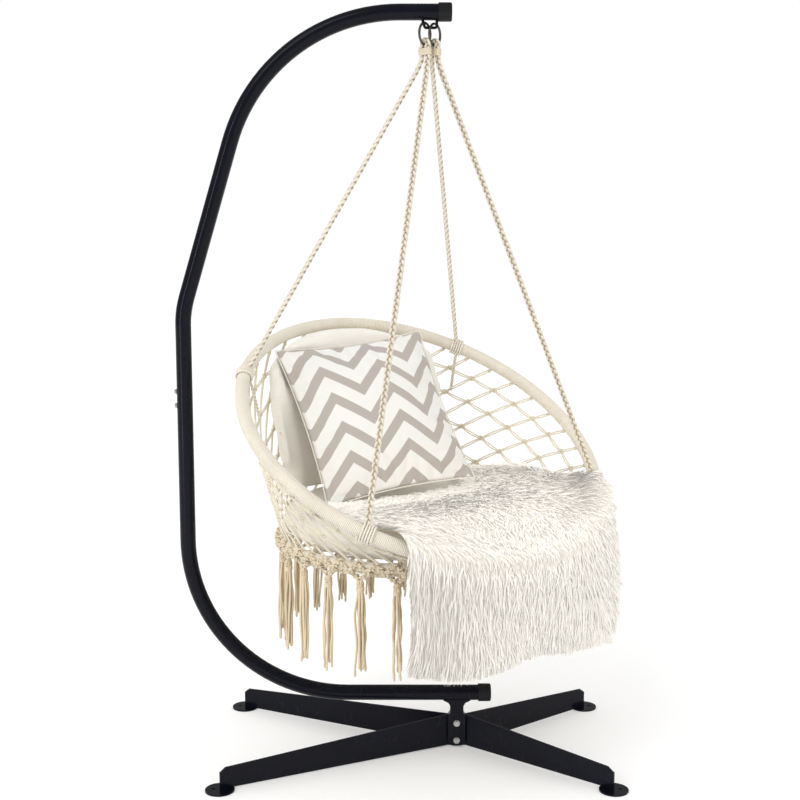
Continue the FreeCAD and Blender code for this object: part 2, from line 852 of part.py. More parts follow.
def whipping(label, sign):
    """The cord band that binds the two legs of a rope below its eye."""
    radius = size("eye_radius")
    side = RING_CENTRES[0].y * sign
    height = size("whipping_height")
    low = SWING_HEIGHT - size("whipping_top_drop") - height
    outer = size("rope_radius") + size("whipping_wall")
    ends = [Vector(radius, side, low), Vector(-radius, side, low)]
    bar = Part.makeBox(2 * radius, 2 * outer, height, Vector(-radius, side - outer, low))
    band = bar.fuse([Part.makeCylinder(outer, height, end) for end in ends]).removeSplitter()
    band = band.cut([Part.makeCylinder(size("rope_radius") + 0.1, height, end) for end in ends])
    return shaped(label, band, CHAIR)


def lashing_outer_radius():
    return size("hoop_wrap_radius") + size("seat_gap") + 2 * size("lashing_cord_radius") + 0.3


def suspension_rope(label, sign, leg, angle):
    """One taut leg of rope, from the whipping to its lashing on the hoop."""
    radius = size("eye_radius") * leg
    side = RING_CENTRES[0].y * sign
    start = Vector(radius, side, SWING_HEIGHT - size("eye_leg"))
    corner = start - Z_AXIS * size("rope_straight_start")
    anchor = hoop_point(angle)
    heading = (corner - anchor).normalize()
    lay = heading.getAngle(hoop_tangent(angle))
    clear = lashing_outer_radius() + size("seat_gap") + size("rope_radius") * abs(math.cos(lay))
    end = anchor + heading * (clear / math.sin(lay))
    half_turn = (math.pi - (start - corner).getAngle(end - corner)) / 2
    bend = 0.45 * size("rope_straight_start") / math.tan(half_turn)
    route = wire_of(route_curves([start, corner, end], [bend]))
    solid = rod_along(route, size("rope_radius"))
    section = math.pi * size("rope_radius") ** 2
    print("%s: length %.1f, bend radius %.1f, volume over section and length %.4f"
          % (label, route.Length, bend, solid.Volume / (section * route.Length)))
    return shaped(label, solid, CHAIR)


def biarc(start, start_heading, end, end_heading):
    """Two arcs that share a tangent where they meet."""
    chord = end - start
    square = 2 * (1 - start_heading.dot(end_heading))
    linear = 2 * chord.dot(start_heading + end_heading)
    reach = (-linear + math.sqrt(linear ** 2 + 4 * square * chord.dot(chord))) / (2 * square)
    first_corner = start + start_heading * reach
    last_corner = end - end_heading * reach
    joint = (first_corner + last_corner) * 0.5
    return [arc_by_corner(start, first_corner, joint), arc_by_corner(joint, last_corner, end)]


def arc_by_corner(start, corner, end):
    """The arc that is tangent to both lines from its ends to the corner."""
    middle = (start + end) * 0.5
    half_chord = (end - start).Length / 2
    rise = (corner - middle).Length
    bow = half_chord * math.tan(math.atan2(rise, half_chord) / 2)
    return Part.Arc(start, middle + (corner - middle).normalize() * bow, end)


def wound_cord(origin, axis, side, coil_radius, pitch, turns, cord_radius):
    """A cord wound round an axis: one unbroken tube on quarter-turn biarcs."""
    other = axis.cross(side)
    rise = pitch / (2 * math.pi)
    scale = 1 / math.hypot(coil_radius, rise)
    half_length = pitch * turns / 2

    def place(turn):
        spoke = side * math.cos(turn) + other * math.sin(turn)
        return origin + axis * (rise * turn - half_length) + spoke * coil_radius

    def heading(turn):
        sweep = other * math.cos(turn) - side * math.sin(turn)
        return (sweep * coil_radius + axis * rise) * scale

    quarter = math.pi / 2
    arcs = []
    for step in range(turns * 4):
        first = step * quarter
        last = first + quarter
        arcs.extend(biarc(place(first), heading(first), place(last), heading(last)))
    route = wire_of(arcs)
    samples = [place(index * quarter / 8) for index in range(turns * 32 + 1)]
    gap = min(
        (samples[a] - samples[b]).Length
        for a in range(len(samples))
        for b in range(a + 16, len(samples))
    ) - 2 * cord_radius
    return rod_along(route, cord_radius), gap


def lashing(label, angle):
    """Turns of cord that tie a rope's end to the hoop."""
    tangent = hoop_tangent(angle)
    outward = (hoop_point(angle) - HOOP_CENTRE).normalize()
    cord = size("lashing_cord_radius")
    radius = size("hoop_wrap_radius") + size("seat_gap") + cord + 0.3
    solid, gap = wound_cord(hoop_point(angle), tangent, outward, radius,
                            size("lashing_pitch"), count("lashing_turns"), cord)
    print("%s: gap between turns %.2f" % (label, gap))
    return shaped(label, solid, CHAIR)


ROPES = {
    "front_left": (1, 1, size("front_rope_angle") + size("rope_set_turn")),
    "front_right": (-1, 1, -size("front_rope_angle") + size("rope_set_turn")),
    "back_left": (1, -1, size("back_rope_angle") + size("rope_set_turn")),
    "back_right": (-1, -1, -size("back_rope_angle") + size("rope_set_turn")),
}
for side_name, side_sign in (("left", 1), ("right", -1)):
    rope_eye(side_name + "_rope_eye", side_sign)
    whipping(side_name + "_whipping", side_sign)
for rope_name, (rope_side, rope_leg, rope_angle) in ROPES.items():
    suspension_rope(rope_name + "_rope", rope_side, rope_leg, rope_angle)
    lashing(rope_name + "_lashing", rope_angle)


# Side net: rows parallel to the hoop, crossed by slanting cords

def wall_length(angle):
    return (seat_point(angle) - hoop_point(angle)).Length


def net_top_radius(angle):
    """How far from the hoop's axis the net begins: below a lashing it starts lower."""
    half_lashing = size("lashing_pitch") * size("lashing_turns") / 2 + size("lashing_cord_radius")
    reach = math.degrees(half_lashing / size("hoop_radius")) + 360.0 / count("net_columns")
    for _, _, rope_angle in ROPES.values():
        if abs((angle - rope_angle + 180) % 360 - 180) < reach:
            return lashing_outer_radius() + size("net_ring_gap")
    return size("hoop_wrap_radius") + size("net_ring_gap")


def wall_point(angle, share):
    """A point of the bucket's wall, from the hoop (0) to the seat ring (1)."""
    top = hoop_point(angle)
    down = (seat_point(angle) - top).normalize()
    start = net_top_radius(angle) / math.sin(down.getAngle(hoop_tangent(angle)))
    level = math.hypot(down.x, down.y)
    flat = size("seat_ring_radius") * (1 - math.cos(1.25 * math.pi / count("net_columns")))
    end = wall_length(angle) - size("seat_wrap_radius") - size("net_ring_gap") - flat * level
    return top + down * (start + (end - start) * share)


def wall_outward(angle, share):
    """The outward normal of the bucket's wall."""
    along = wall_point(angle + 0.5, share) - wall_point(angle - 0.5, share)
    down = seat_point(angle) - hoop_point(angle)
    return down.cross(along).normalize()


def slanted_angle(start, rows_down):
    """Where a slanting cord that leaves the hoop at an angle is, some rows down."""
    angle = start
    row_share = 1 / count("net_rows")
    for _ in range(rows_down):
        shift = size("net_slant") * wall_length(angle) * row_share
        angle += math.degrees(shift / size("hoop_radius"))
    return angle


def triangle(a, b, c):
    return Part.Face(Part.makePolygon([a, b, c, a]))


def skin(corners):
    """Two triangles that cover a four-cornered patch."""
    a, b, c, d = corners
    return [triangle(a, b, c), triangle(a, c, d)]


def net_panel(label, first_column, columns):
    """One panel of the side net, a single sheet of cords with a gap in each mesh."""
    rows = count("net_rows")
    column_angle = 360.0 / count("net_columns")
    half_cord = size("net_cord") / 2
    half_depth = size("net_thickness") / 2
    knots, outward = {}, {}
    for i in range(columns + 1):
        start = (first_column + i) * column_angle
        if i == columns:
            start -= 0.04
        for j in range(rows + 1):
            angle = slanted_angle(start, j)
            knots[i, j] = wall_point(angle, j / rows)
            outward[i, j] = wall_outward(angle, j / rows)
    faces = []
    for i in range(columns):
        for j in range(rows):
            keys = [(i, j), (i + 1, j), (i + 1, j + 1), (i, j + 1)]
            ring = [knots[key] for key in keys]
            normal = sum((outward[key] for key in keys), Vector()).normalize()
            gap = mesh_gap(ring, half_cord)
            outer = [knots[key] + outward[key] * half_depth for key in keys]
            inner = [knots[key] - outward[key] * half_depth for key in keys]
            gap_outer = [point + normal * half_depth for point in gap]
            gap_inner = [point - normal * half_depth for point in gap]
            for a in range(4):
                b = (a + 1) % 4
                faces += skin([outer[a], outer[b], gap_outer[b], gap_outer[a]])
                faces += skin([inner[b], inner[a], gap_inner[a], gap_inner[b]])
                faces += skin([gap_outer[a], gap_outer[b], gap_inner[b], gap_inner[a]])
    border = [((i, 0), (i + 1, 0)) for i in range(columns)]
    border += [((i + 1, rows), (i, rows)) for i in range(columns)]
    border += [((0, j + 1), (0, j)) for j in range(rows)]
    border += [((columns, j), (columns, j + 1)) for j in range(rows)]
    for a, b in border:
        corners = [
            knots[b] + outward[b] * half_depth,
            knots[a] + outward[a] * half_depth,
            knots[a] - outward[a] * half_depth,
            knots[b] - outward[b] * half_depth,
        ]
        if a[0] == b[0] == columns:
            # Split along the same diagonal as the next panel's edge, which lies against it
            corners = corners[1:] + corners[:1]
        faces += skin(corners)
    shell = Part.makeShell(faces)
    shell.sewShape()
    solid = Part.makeSolid(shell)
    if solid.Volume < 0:
        solid.reverse()
    return shaped(label, solid, CHAIR)


def mesh_gap(ring, inset):
    """The corners of the gap inside a mesh, each side moved in by half a cord."""
    gap = []
    for a in range(4):
        ahead = (ring[(a + 1) % 4] - ring[a]).normalize()
        behind = (ring[a - 1] - ring[a]).normalize()
        gap.append(ring[a] + (ahead + behind) * (inset / math.sin(ahead.getAngle(behind))))
    return gap


NET_PANELS = [
    "front_left_net",
    "left_front_net",
    "left_back_net",
    "back_left_net",
    "back_right_net",
    "right_back_net",
    "right_front_net",
    "front_right_net",
]
panel_columns = count("net_columns") // len(NET_PANELS)
for panel_number, panel_name in enumerate(NET_PANELS):
    net_panel(panel_name, panel_number * panel_columns, panel_columns)


def make_seat_net():
    """A flat net across the seat ring: one sheet with square gaps."""
    radius = (size("seat_ring_radius") - size("seat_wrap_radius") - size("seat_gap"))
    pitch = size("seat_net_pitch")
    half_gap = (pitch - size("seat_net_cord")) / math.sqrt(2)
    depth = size("net_thickness")
    step = pitch / math.sqrt(2)
    reach = int(radius / step) + 1
    wires = [Part.Wire([Part.makeCircle(radius, Vector())])]
    for column in range(-reach, reach + 1):
        for line in range(-reach, reach + 1):
            if (column + line) % 2:
                continue
            centre = Vector(column * step, line * step, 0)
            if centre.Length + half_gap > radius - size("seat_net_cord"):
                continue
            corners = [
                centre + Vector(half_gap, 0, 0),
                centre + Vector(0, half_gap, 0),
                centre + Vector(-half_gap, 0, 0),
                centre + Vector(0, -half_gap, 0),
            ]
            wires.append(Part.makePolygon(corners + corners[:1]))
    print("seat net: %d gaps" % (len(wires) - 1))
    face = Part.Face(wires, "Part::FaceMakerBullseye")
    net = face.extrude(Z_AXIS * depth)
    net.translate(SEAT_CENTRE - Z_AXIS * (depth / 2))
    return shaped("seat_net", net, CHAIR)


make_seat_net()


# Scalloped border and fringe below the seat ring

def tassel_angles():
    return [360.0 * number / count("tassel_count") for number in range(count("tassel_count"))]


def make_border():
    """A knotted band under the seat ring, arched between the tassels."""
    middle = size("seat_ring_radius")
    half = size("border_thickness") / 2
    ring_bottom = SEAT_CENTRE.z - size("seat_wrap_radius") - size("seat_gap")
    low = ring_bottom - size("border_drop")
    base = Vector(SEAT_CENTRE.x, SEAT_CENTRE.y, low)
    outer = Part.makeCylinder(middle + half, size("border_drop"), base)
    inner = Part.makeCylinder(middle - half, size("border_drop"), base)
    band = outer.cut(inner)
    arches = []
    spread = 180.0 / count("tassel_count")
    for angle in tassel_angles():
        turn = math.radians(angle + spread)
        outward = Vector(math.cos(turn), math.sin(turn), 0)
        start = Vector(SEAT_CENTRE.x, SEAT_CENTRE.y, ring_bottom - size("scallop_drop"))
        arches.append(Part.makeCylinder(size("scallop_radius"), 2 * half + 20,
                                        start + outward * (middle - half - 10), outward))
    return shaped("scalloped_border", band.cut(arches), CHAIR)


make_border()


def make_tassels():
    """Gathered tassels, one below each point of the border."""
    knot = size("tassel_knot_radius")
    neck = size("tassel_neck_radius")
    hem = size("tassel_hem_radius")
    length = size("tassel_length")
    outline = [
        Part.Arc(Vector(0, 0, 0), Vector(knot, 0, -knot), Vector(neck, 0, -1.85 * knot)),
        Part.LineSegment(Vector(neck, 0, -1.85 * knot), Vector(hem, 0, -length)),
        Part.LineSegment(Vector(hem, 0, -length), Vector(0, 0, -length)),
        Part.LineSegment(Vector(0, 0, -length), Vector(0, 0, 0)),
    ]
    one = Part.Face(wire_of(outline)).revolve(Vector(), Z_AXIS, 360)
    top = (SEAT_CENTRE.z - size("seat_wrap_radius") - size("seat_gap") - size("border_drop")
           - size("seat_gap"))
    tassels = []
    for angle in tassel_angles():
        turn = math.radians(angle)
        tassel = one.copy()
        spot = Vector(math.cos(turn), math.sin(turn), 0) * size("seat_ring_radius")
        tassel.translate(Vector(SEAT_CENTRE.x, SEAT_CENTRE.y, top) + spot)
        tassels.append(tassel)
    return shaped("fringe_tassels", Part.makeCompound(tassels), CHAIR)


make_tassels()


def rope_tail(label, angle):
    """A short tail of rope that hangs from a back lashing along the net."""
    radius = size("rope_tail_radius")
    flat = size("hoop_radius") * (1 - math.cos(math.pi / count("net_columns")))
    clear = size("net_thickness") / 2 + radius + size("seat_gap") + 2.1 * flat
    share_top = radius / 4 / wall_length(angle)
    inward = wall_outward(angle, share_top) * -clear
    top = wall_point(angle, share_top) + inward
    down = (seat_point(angle) - hoop_point(angle)).normalize()
    tail = Part.makeCylinder(radius, size("rope_tail_length"), top, down)
    return shaped(label, tail, CHAIR)


rope_tail("left_rope_tail", ROPES["back_left"][2])
rope_tail("right_rope_tail", ROPES["back_right"][2])


# Cushions

SEAT_NET_TOP = SEAT_CENTRE.z + size("net_thickness") / 2
CUSHION_BASE = SEAT_NET_TOP + size("seat_gap")
CUSHION_RIM = CUSHION_BASE + size("cushion_rim_rise")


def make_seat_cushion():
    """A round pad with a soft rim and a dished top."""
    rim = size("cushion_rim_radius")
    foot = size("cushion_base_radius")
    edge = size("cushion_radius")
    rise = size("cushion_rim_rise")
    dish = size("cushion_dish")
    waist = CUSHION_BASE + 0.5 * rise
    points = {
        "axis_low": Vector(0, 0, CUSHION_BASE),
        "foot": Vector(foot, 0, CUSHION_BASE),
        "foot_bow": Vector(foot + 0.74 * (edge - foot), 0, CUSHION_BASE + 0.2 * rise),
        "waist": Vector(edge, 0, waist),
        "rim_bow": Vector(rim + 0.74 * (edge - rim), 0, CUSHION_BASE + 0.82 * rise),
        "rim": Vector(rim, 0, CUSHION_RIM),
        "dish_bow": Vector(0.5 * rim, 0, CUSHION_RIM - 0.75 * dish),
        "button": Vector(0.04 * rim, 0, CUSHION_RIM - dish),
        "axis_high": Vector(0, 0, CUSHION_RIM - dish),
    }
    outline = [
        Part.LineSegment(points["axis_low"], points["foot"]),
        Part.Arc(points["foot"], points["foot_bow"], points["waist"]),
        Part.Arc(points["waist"], points["rim_bow"], points["rim"]),
        Part.Arc(points["rim"], points["dish_bow"], points["button"]),
        Part.LineSegment(points["button"], points["axis_high"]),
        Part.LineSegment(points["axis_high"], points["axis_low"]),
    ]
    pad_solid = Part.Face(wire_of(outline)).revolve(Vector(), Z_AXIS, 360)
    pad_solid.translate(Vector(SEAT_CENTRE.x, 0, 0))
    return shaped("seat_cushion", pad_solid, CHAIR)


make_seat_cushion()


def back_section(angle, share):
    """A section of the back cushion on a spoke of the chair; share is 0 at its middle
    and 1 at its ends."""
    full = size("back_thickness")
    thickness = full + (size("back_end_thickness") - full) * share ** 3
    low = CUSHION_RIM + size("seat_gap") + 22 * share ** 3
    high = hoop_point(angle).z - 8 - 42 * share ** 3
    gap = size("net_thickness") / 2 + size("back_wall_gap")
    profile = [
        (gap, low + 8),
        (gap, high - 28),
        (gap + 19, high),
        (thickness - 16, high),
        (thickness, high - 26),
        (thickness + 9, (low + high) / 2),
        (thickness, low + 24),
        (thickness - 14, low),
        (gap + 12, low),
    ]
    spoke = (seat_point(angle) - SEAT_CENTRE).normalize()
    corners = []
    for inward, height in profile:
        top = hoop_point(angle)
        bottom = seat_point(angle)
        on_wall = bottom + (top - bottom) * ((height - bottom.z) / (top.z - bottom.z))
        corners.append(on_wall - spoke * inward)
    return Part.makePolygon(corners + corners[:1])


def pillow_ring(depth, half_width, draw):
    """A four-sided outline of the pillow whose sides are drawn in between its corners."""
    corners = [
        Vector(depth, -half_width, -half_width),
        Vector(depth, half_width, -half_width),
        Vector(depth, half_width, half_width),
        Vector(depth, -half_width, half_width),
    ]
    sides = []
    for a in range(4):
        start, end = corners[a], corners[(a + 1) % 4]
        middle = (start + end) * 0.5
        inward = (Vector(depth, 0, 0) - middle).normalize() * draw
        sides.append(Part.Arc(start, middle + inward, end))
    return wire_of(sides)


def pillow_form(margin):
    """A square throw pillow, crowned on both faces, with a thin edge all round."""
    half = size("pillow_half_width") + margin
    crown = size("pillow_half_depth") + margin
    draw = size("pillow_side_draw")
    steps = [(1.0, 0.36), (0.8, 0.62), (0.45, 0.85), (0.03, 1.0)]
    rings = [pillow_ring(-crown * depth, half * width, draw * width) for depth, width in steps]
    rings += [pillow_ring(crown * depth, half * width, draw * width)
              for depth, width in reversed(steps)]
    pillow = Part.makeLoft(rings, True, True)
    pillow.Placement = Placement(
        Vector(hoop_point(180).x + size("pillow_back_reach"), -size("pillow_right"),
               CUSHION_RIM + size("pillow_rise")),
        Rotation(-size("pillow_yaw"), -size("pillow_lean"), size("pillow_roll")),
    )
    return pillow


def make_back_cushion():
    """A curved pad that stands on the seat cushion, inside the back of the net, and gives
    way where the pillow leans on it."""
    half = size("back_half_angle")
    shares = [-1.0, -0.82, -0.5, -0.17, 0.17, 0.5, 0.82, 1.0]
    sections = [back_section(180 + share * half, abs(share)) for share in shares]
    cushion = Part.makeLoft(sections, True, True)
    pressed = cushion.cut(pillow_form(size("pillow_rest_gap")))
    print("back cushion: %d solid, pressed in by %.0f cm3"
          % (len(pressed.Solids), (cushion.Volume - pressed.Volume) / 1000))
    return shaped("back_cushion", pressed, CHAIR)


shaped("throw_pillow", pillow_form(0.0), CHAIR)
make_back_cushion()


# Fur throw: over the seat, over the front of the hoop and down.
# Each slice: angle on the hoop, rear edge, rise of its underside over the cushion's rim at
# the rear and at the front of the seat, drop of the hem below the rim, and how far the fold
# stands out at the hem

THROW_SLICES = [
    (-38, -55, 1.8, 4.8, 309.8, 8),
    (-26, -55, -6.5, 4.8, 316.8, 20),
    (-13, -55, -12.8, 4.8, 317.8, 10),
    (0, -55, -15.6, 4.8, 297.8, 3),
    (13, -55, -12.8, 4.8, 305.8, 14),
    (26, -55, -6.5, 4.8, 322.8, 24),
    (38, -190, 1.8, 7.8, 340.8, 18),
    (48, -120, 22.2, 26.2, 352.8, 28),
    (51, -60, 32.2, 36.2, 339.8, 24),
]


def throw_slice(angle, rear, rear_rise, front_rise, hem_drop, fold):
    """The outline of the throw in an upright plane across the hoop."""
    rear_height = CUSHION_RIM + rear_rise
    front_height = CUSHION_RIM + front_rise
    hem_height = CUSHION_RIM - hem_drop
    turn = math.radians(angle)
    stretch = 1 / math.cos(turn)
    around = size("hoop_wrap_radius") + size("throw_hoop_clearance")
    hoop = hoop_point(angle)
    forward = HOOP_FORWARD * (around * stretch)
    upward = Vector(math.sin(TILT), 0, math.cos(TILT)) * around
    edge = hoop + forward * 1.1 + upward * 0.3
    lower = [
        Vector(rear, hoop.y, rear_height),
        Vector(hoop.x - size("throw_fall"), hoop.y, front_height),
        hoop - forward * 0.7 + upward * 1.1,
        hoop + forward * 0.6 + upward * 1.1,
        edge,
        Vector(edge.x + 0.5 * fold + 3, hoop.y, (edge.z + hem_height) / 2),
        Vector(edge.x + fold, hoop.y, hem_height),
    ]
    thickness = size("throw_thickness")
    hang = thickness * stretch
    upper = [
        Vector(rear, hoop.y, rear_height + thickness),
        Vector(hoop.x - size("throw_fall") + 8, hoop.y, front_height + thickness),
        hoop - forward * 0.5 + upward * 1.1 + Vector(0, 0, 1.05 * thickness),
        hoop + forward * 0.6 + upward * 1.1 + Vector(0.4 * hang, 0, 0.8 * thickness),
        edge + Vector(hang, 0, 0.25 * thickness),
        lower[5] + Vector(hang, 0, 0),
        lower[6] + Vector(hang, 0, 0),
    ]
    corners = lower + upper[::-1]
    return Part.makePolygon(corners + corners[:1])


shaped("fur_throw", Part.makeLoft([throw_slice(*row) for row in THROW_SLICES], True, True), CHAIR)


# Check every object and write the sub-parts

doc.recompute()
for obj in doc.Objects:
    if "Invalid" in obj.State or "Error" in obj.State:
        raise RuntimeError("%s did not build: %s" % (obj.Label, obj.State))
for obj in SUB_PARTS:
    if obj.Shape.isNull() or not obj.Shape.isValid() or not obj.Shape.Solids:
        raise RuntimeError("%s has no valid solid" % obj.Label)
os.makedirs("parts", exist_ok=True)
for obj in SUB_PARTS:
    obj.Shape.exportStep("parts/%s.step" % obj.Label)
print("%d sub-parts written" % len(SUB_PARTS))
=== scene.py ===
"""Looks of a hanging bucket chair of knotted cord on a C-shaped tube stand.

Lengths are in metres and angles in degrees. The chair has its own axes: x to its front, y to its
left and z up, with its upright axis through the middle of the stand's hanging loop.
"""

import logging
import math
from dataclasses import dataclass
from enum import Enum

import bmesh
import bpy
import numpy as np
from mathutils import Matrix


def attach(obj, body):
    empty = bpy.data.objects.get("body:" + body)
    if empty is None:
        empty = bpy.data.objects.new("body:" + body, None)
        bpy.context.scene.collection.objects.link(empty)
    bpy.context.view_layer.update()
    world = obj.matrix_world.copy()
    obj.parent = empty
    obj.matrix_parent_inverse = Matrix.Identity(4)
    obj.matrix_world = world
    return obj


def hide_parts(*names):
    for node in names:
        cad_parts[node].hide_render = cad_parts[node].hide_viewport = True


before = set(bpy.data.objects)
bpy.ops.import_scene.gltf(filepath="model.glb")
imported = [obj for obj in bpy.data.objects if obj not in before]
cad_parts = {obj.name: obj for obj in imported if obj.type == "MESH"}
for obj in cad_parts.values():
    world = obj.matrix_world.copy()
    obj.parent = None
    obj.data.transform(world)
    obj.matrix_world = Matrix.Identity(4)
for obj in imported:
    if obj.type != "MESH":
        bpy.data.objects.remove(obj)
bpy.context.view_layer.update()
LOG = logging.getLogger("hanging_chair")
SEED = 7
CHAIR_BODY = "chair"
FULL_TURN = 2 * math.pi
UP = np.array([0.0, 0.0, 1.0])
LEFTWARD = np.array([0.0, 1.0, 0.0])
ASKEW = (0.3, 0.5, 0.8)


class Side(Enum):
    """The two sides of the chair, each with its sign across it."""

    LEFT = 1
    RIGHT = -1

    @property
    def word(self) -> str:
        """Left or right, as the names have it."""
        return self.name.lower()


class Slot(Enum):
    """The material slots of the finishes."""

    ROPE = "cotton_rope"
    CORD = "cotton_cord"
    CUSHION = "cushion_cover"
    PILLOW = "pillow_cover"
    FUR = "faux_fur"


def unit(vectors: np.ndarray) -> np.ndarray:
    """Vectors scaled to length one along their last axis."""
    return vectors / np.maximum(np.linalg.norm(vectors, axis=-1, keepdims=True), 1e-12)


def run_along(lines: np.ndarray) -> np.ndarray:
    """The distance along each line to each of its points, from 0."""
    steps = np.linalg.norm(np.diff(lines, axis=-2), axis=-1)
    return np.concatenate([np.zeros(steps.shape[:-1] + (1,)), np.cumsum(steps, axis=-1)], axis=-1)


def level_ring(angle: np.ndarray, radius: float | np.ndarray = 1.0,
               height: float | np.ndarray = 0.0) -> np.ndarray:
    """Points round the upright axis, by their angles in radians, radius and height."""
    return np.stack(np.broadcast_arrays(radius * np.cos(angle), radius * np.sin(angle), height),
                    axis=-1)


def turns_of(count: int) -> np.ndarray:
    """Angles in radians that share a full turn evenly."""
    return np.linspace(0, FULL_TURN, count, endpoint=False)


def soft_step(values: np.ndarray) -> np.ndarray:
    """A smooth ramp from 0 to 1 over the values 0 to 1."""
    held = np.clip(values, 0.0, 1.0)
    return held * held * (3 - 2 * held)


def ripples(u: np.ndarray, v: np.ndarray, seed: int, waves: int = 9,
            low: float = 2.0, high: float = 9.0) -> np.ndarray:
    """A smooth uneven height over two coordinates, about -1 to 1.

    Args:
        u: First coordinate, about 0 to 1.
        v: Second coordinate, about 0 to 1.
        seed: Which pattern.
        waves: How many waves are added.
        low: Lowest wave number.
        high: Highest wave number.

    Returns:
        Heights with the shape of u.
    """
    random = np.random.default_rng(SEED + seed)
    total = np.zeros(np.broadcast(u, v).shape)
    for _ in range(waves):
        turn = random.uniform(0, FULL_TURN)
        number = random.uniform(low, high)
        phase = random.uniform(0, FULL_TURN)
        total = total + np.sin(FULL_TURN * number * (u * math.cos(turn) + v * math.sin(turn))
                               + phase)
    return total / math.sqrt(waves * 2.0)


@dataclass(frozen=True)
class ChairAxes:
    """Where the chair's rings, wall and ropes are, and how its axes lie in the room."""

    hook_x: float = 0.032
    facing: float = -53.5
    swing_height: float = 1.8001819
    ring_side: float = 0.01523
    hoop_radius: float = 0.477
    hoop_tilt: float = 31.5
    hoop_setback: float = 0.0244
    hoop_height: float = 0.836
    hoop_wrap: float = 0.0176
    seat_radius: float = 0.350
    seat_setback: float = 0.047
    seat_height: float = 0.565
    seat_wrap: float = 0.012
    front_rope: float = 53.0
    back_rope: float = 131.0
    rope_turn: float = 3.5

    @property
    def forward(self) -> np.ndarray:
        """The downhill direction of the hoop's plane."""
        tilt = math.radians(self.hoop_tilt)
        return np.array([math.cos(tilt), 0.0, -math.sin(tilt)])

    @property
    def hoop_centre(self) -> np.ndarray:
        """The middle of the hoop."""
        return np.array([-self.hoop_setback, 0.0, self.hoop_height])

    @property
    def seat_centre(self) -> np.ndarray:
        """The middle of the seat ring."""
        return np.array([-self.seat_setback, 0.0, self.seat_height])

    def world(self, points: np.ndarray) -> np.ndarray:
        """Points of the chair's axes as points of the room."""
        turn = math.radians(self.facing)
        cos, sin = math.cos(turn), math.sin(turn)
        p = np.asarray(points, float)
        return np.stack([self.hook_x + p[..., 0] * cos - p[..., 1] * sin,
                         p[..., 0] * sin + p[..., 1] * cos, p[..., 2]], axis=-1)

    def spoke(self, angle: np.ndarray) -> np.ndarray:
        """Unit directions from the hoop's middle; 0 is the front and 90 the left."""
        turn = np.radians(np.asarray(angle, float))[..., None]
        return self.forward * np.cos(turn) + LEFTWARD * np.sin(turn)

    def hoop_point(self, angle: np.ndarray) -> np.ndarray:
        """Points of the hoop's centre line."""
        return self.hoop_centre + self.spoke(angle) * self.hoop_radius

    def hoop_tangent(self, angle: np.ndarray) -> np.ndarray:
        """Directions along the hoop."""
        return self.spoke(np.asarray(angle, float) + 90.0)

    def seat_point(self, angle: np.ndarray) -> np.ndarray:
        """Points of the seat ring's centre line."""
        turn = np.radians(np.asarray(angle, float))[..., None]
        flat = np.concatenate([np.cos(turn), np.sin(turn), 0 * turn], axis=-1)
        return self.seat_centre + flat * self.seat_radius

    def level_point(self, turn: np.ndarray, radius: float | np.ndarray,
                    height: float | np.ndarray) -> np.ndarray:
        """Points round the seat's middle, by angle in radians, radius and height."""
        return self.seat_centre * np.array([1.0, 1.0, 0.0]) + level_ring(turn, radius, height)

    def wall_length(self, angle: np.ndarray) -> np.ndarray:
        """Distances from the hoop to the seat ring."""
        return np.linalg.norm(self.seat_point(angle) - self.hoop_point(angle), axis=-1)

    def wall_point(self, angle: np.ndarray, depth: np.ndarray) -> np.ndarray:
        """Points of the bucket's wall, at distances down from the hoop's centre line."""
        top = self.hoop_point(angle)
        down = unit(self.seat_point(angle) - top)
        return top + down * np.asarray(depth, float)[..., None]

    def wall_outward(self, angle: np.ndarray, depth: np.ndarray) -> np.ndarray:
        """Outward normals of the bucket's wall."""
        angle = np.asarray(angle, float)
        along = self.wall_point(angle + 0.5, depth) - self.wall_point(angle - 0.5, depth)
        down = self.seat_point(angle) - self.hoop_point(angle)
        return unit(np.cross(down, along))


AXES = ChairAxes()


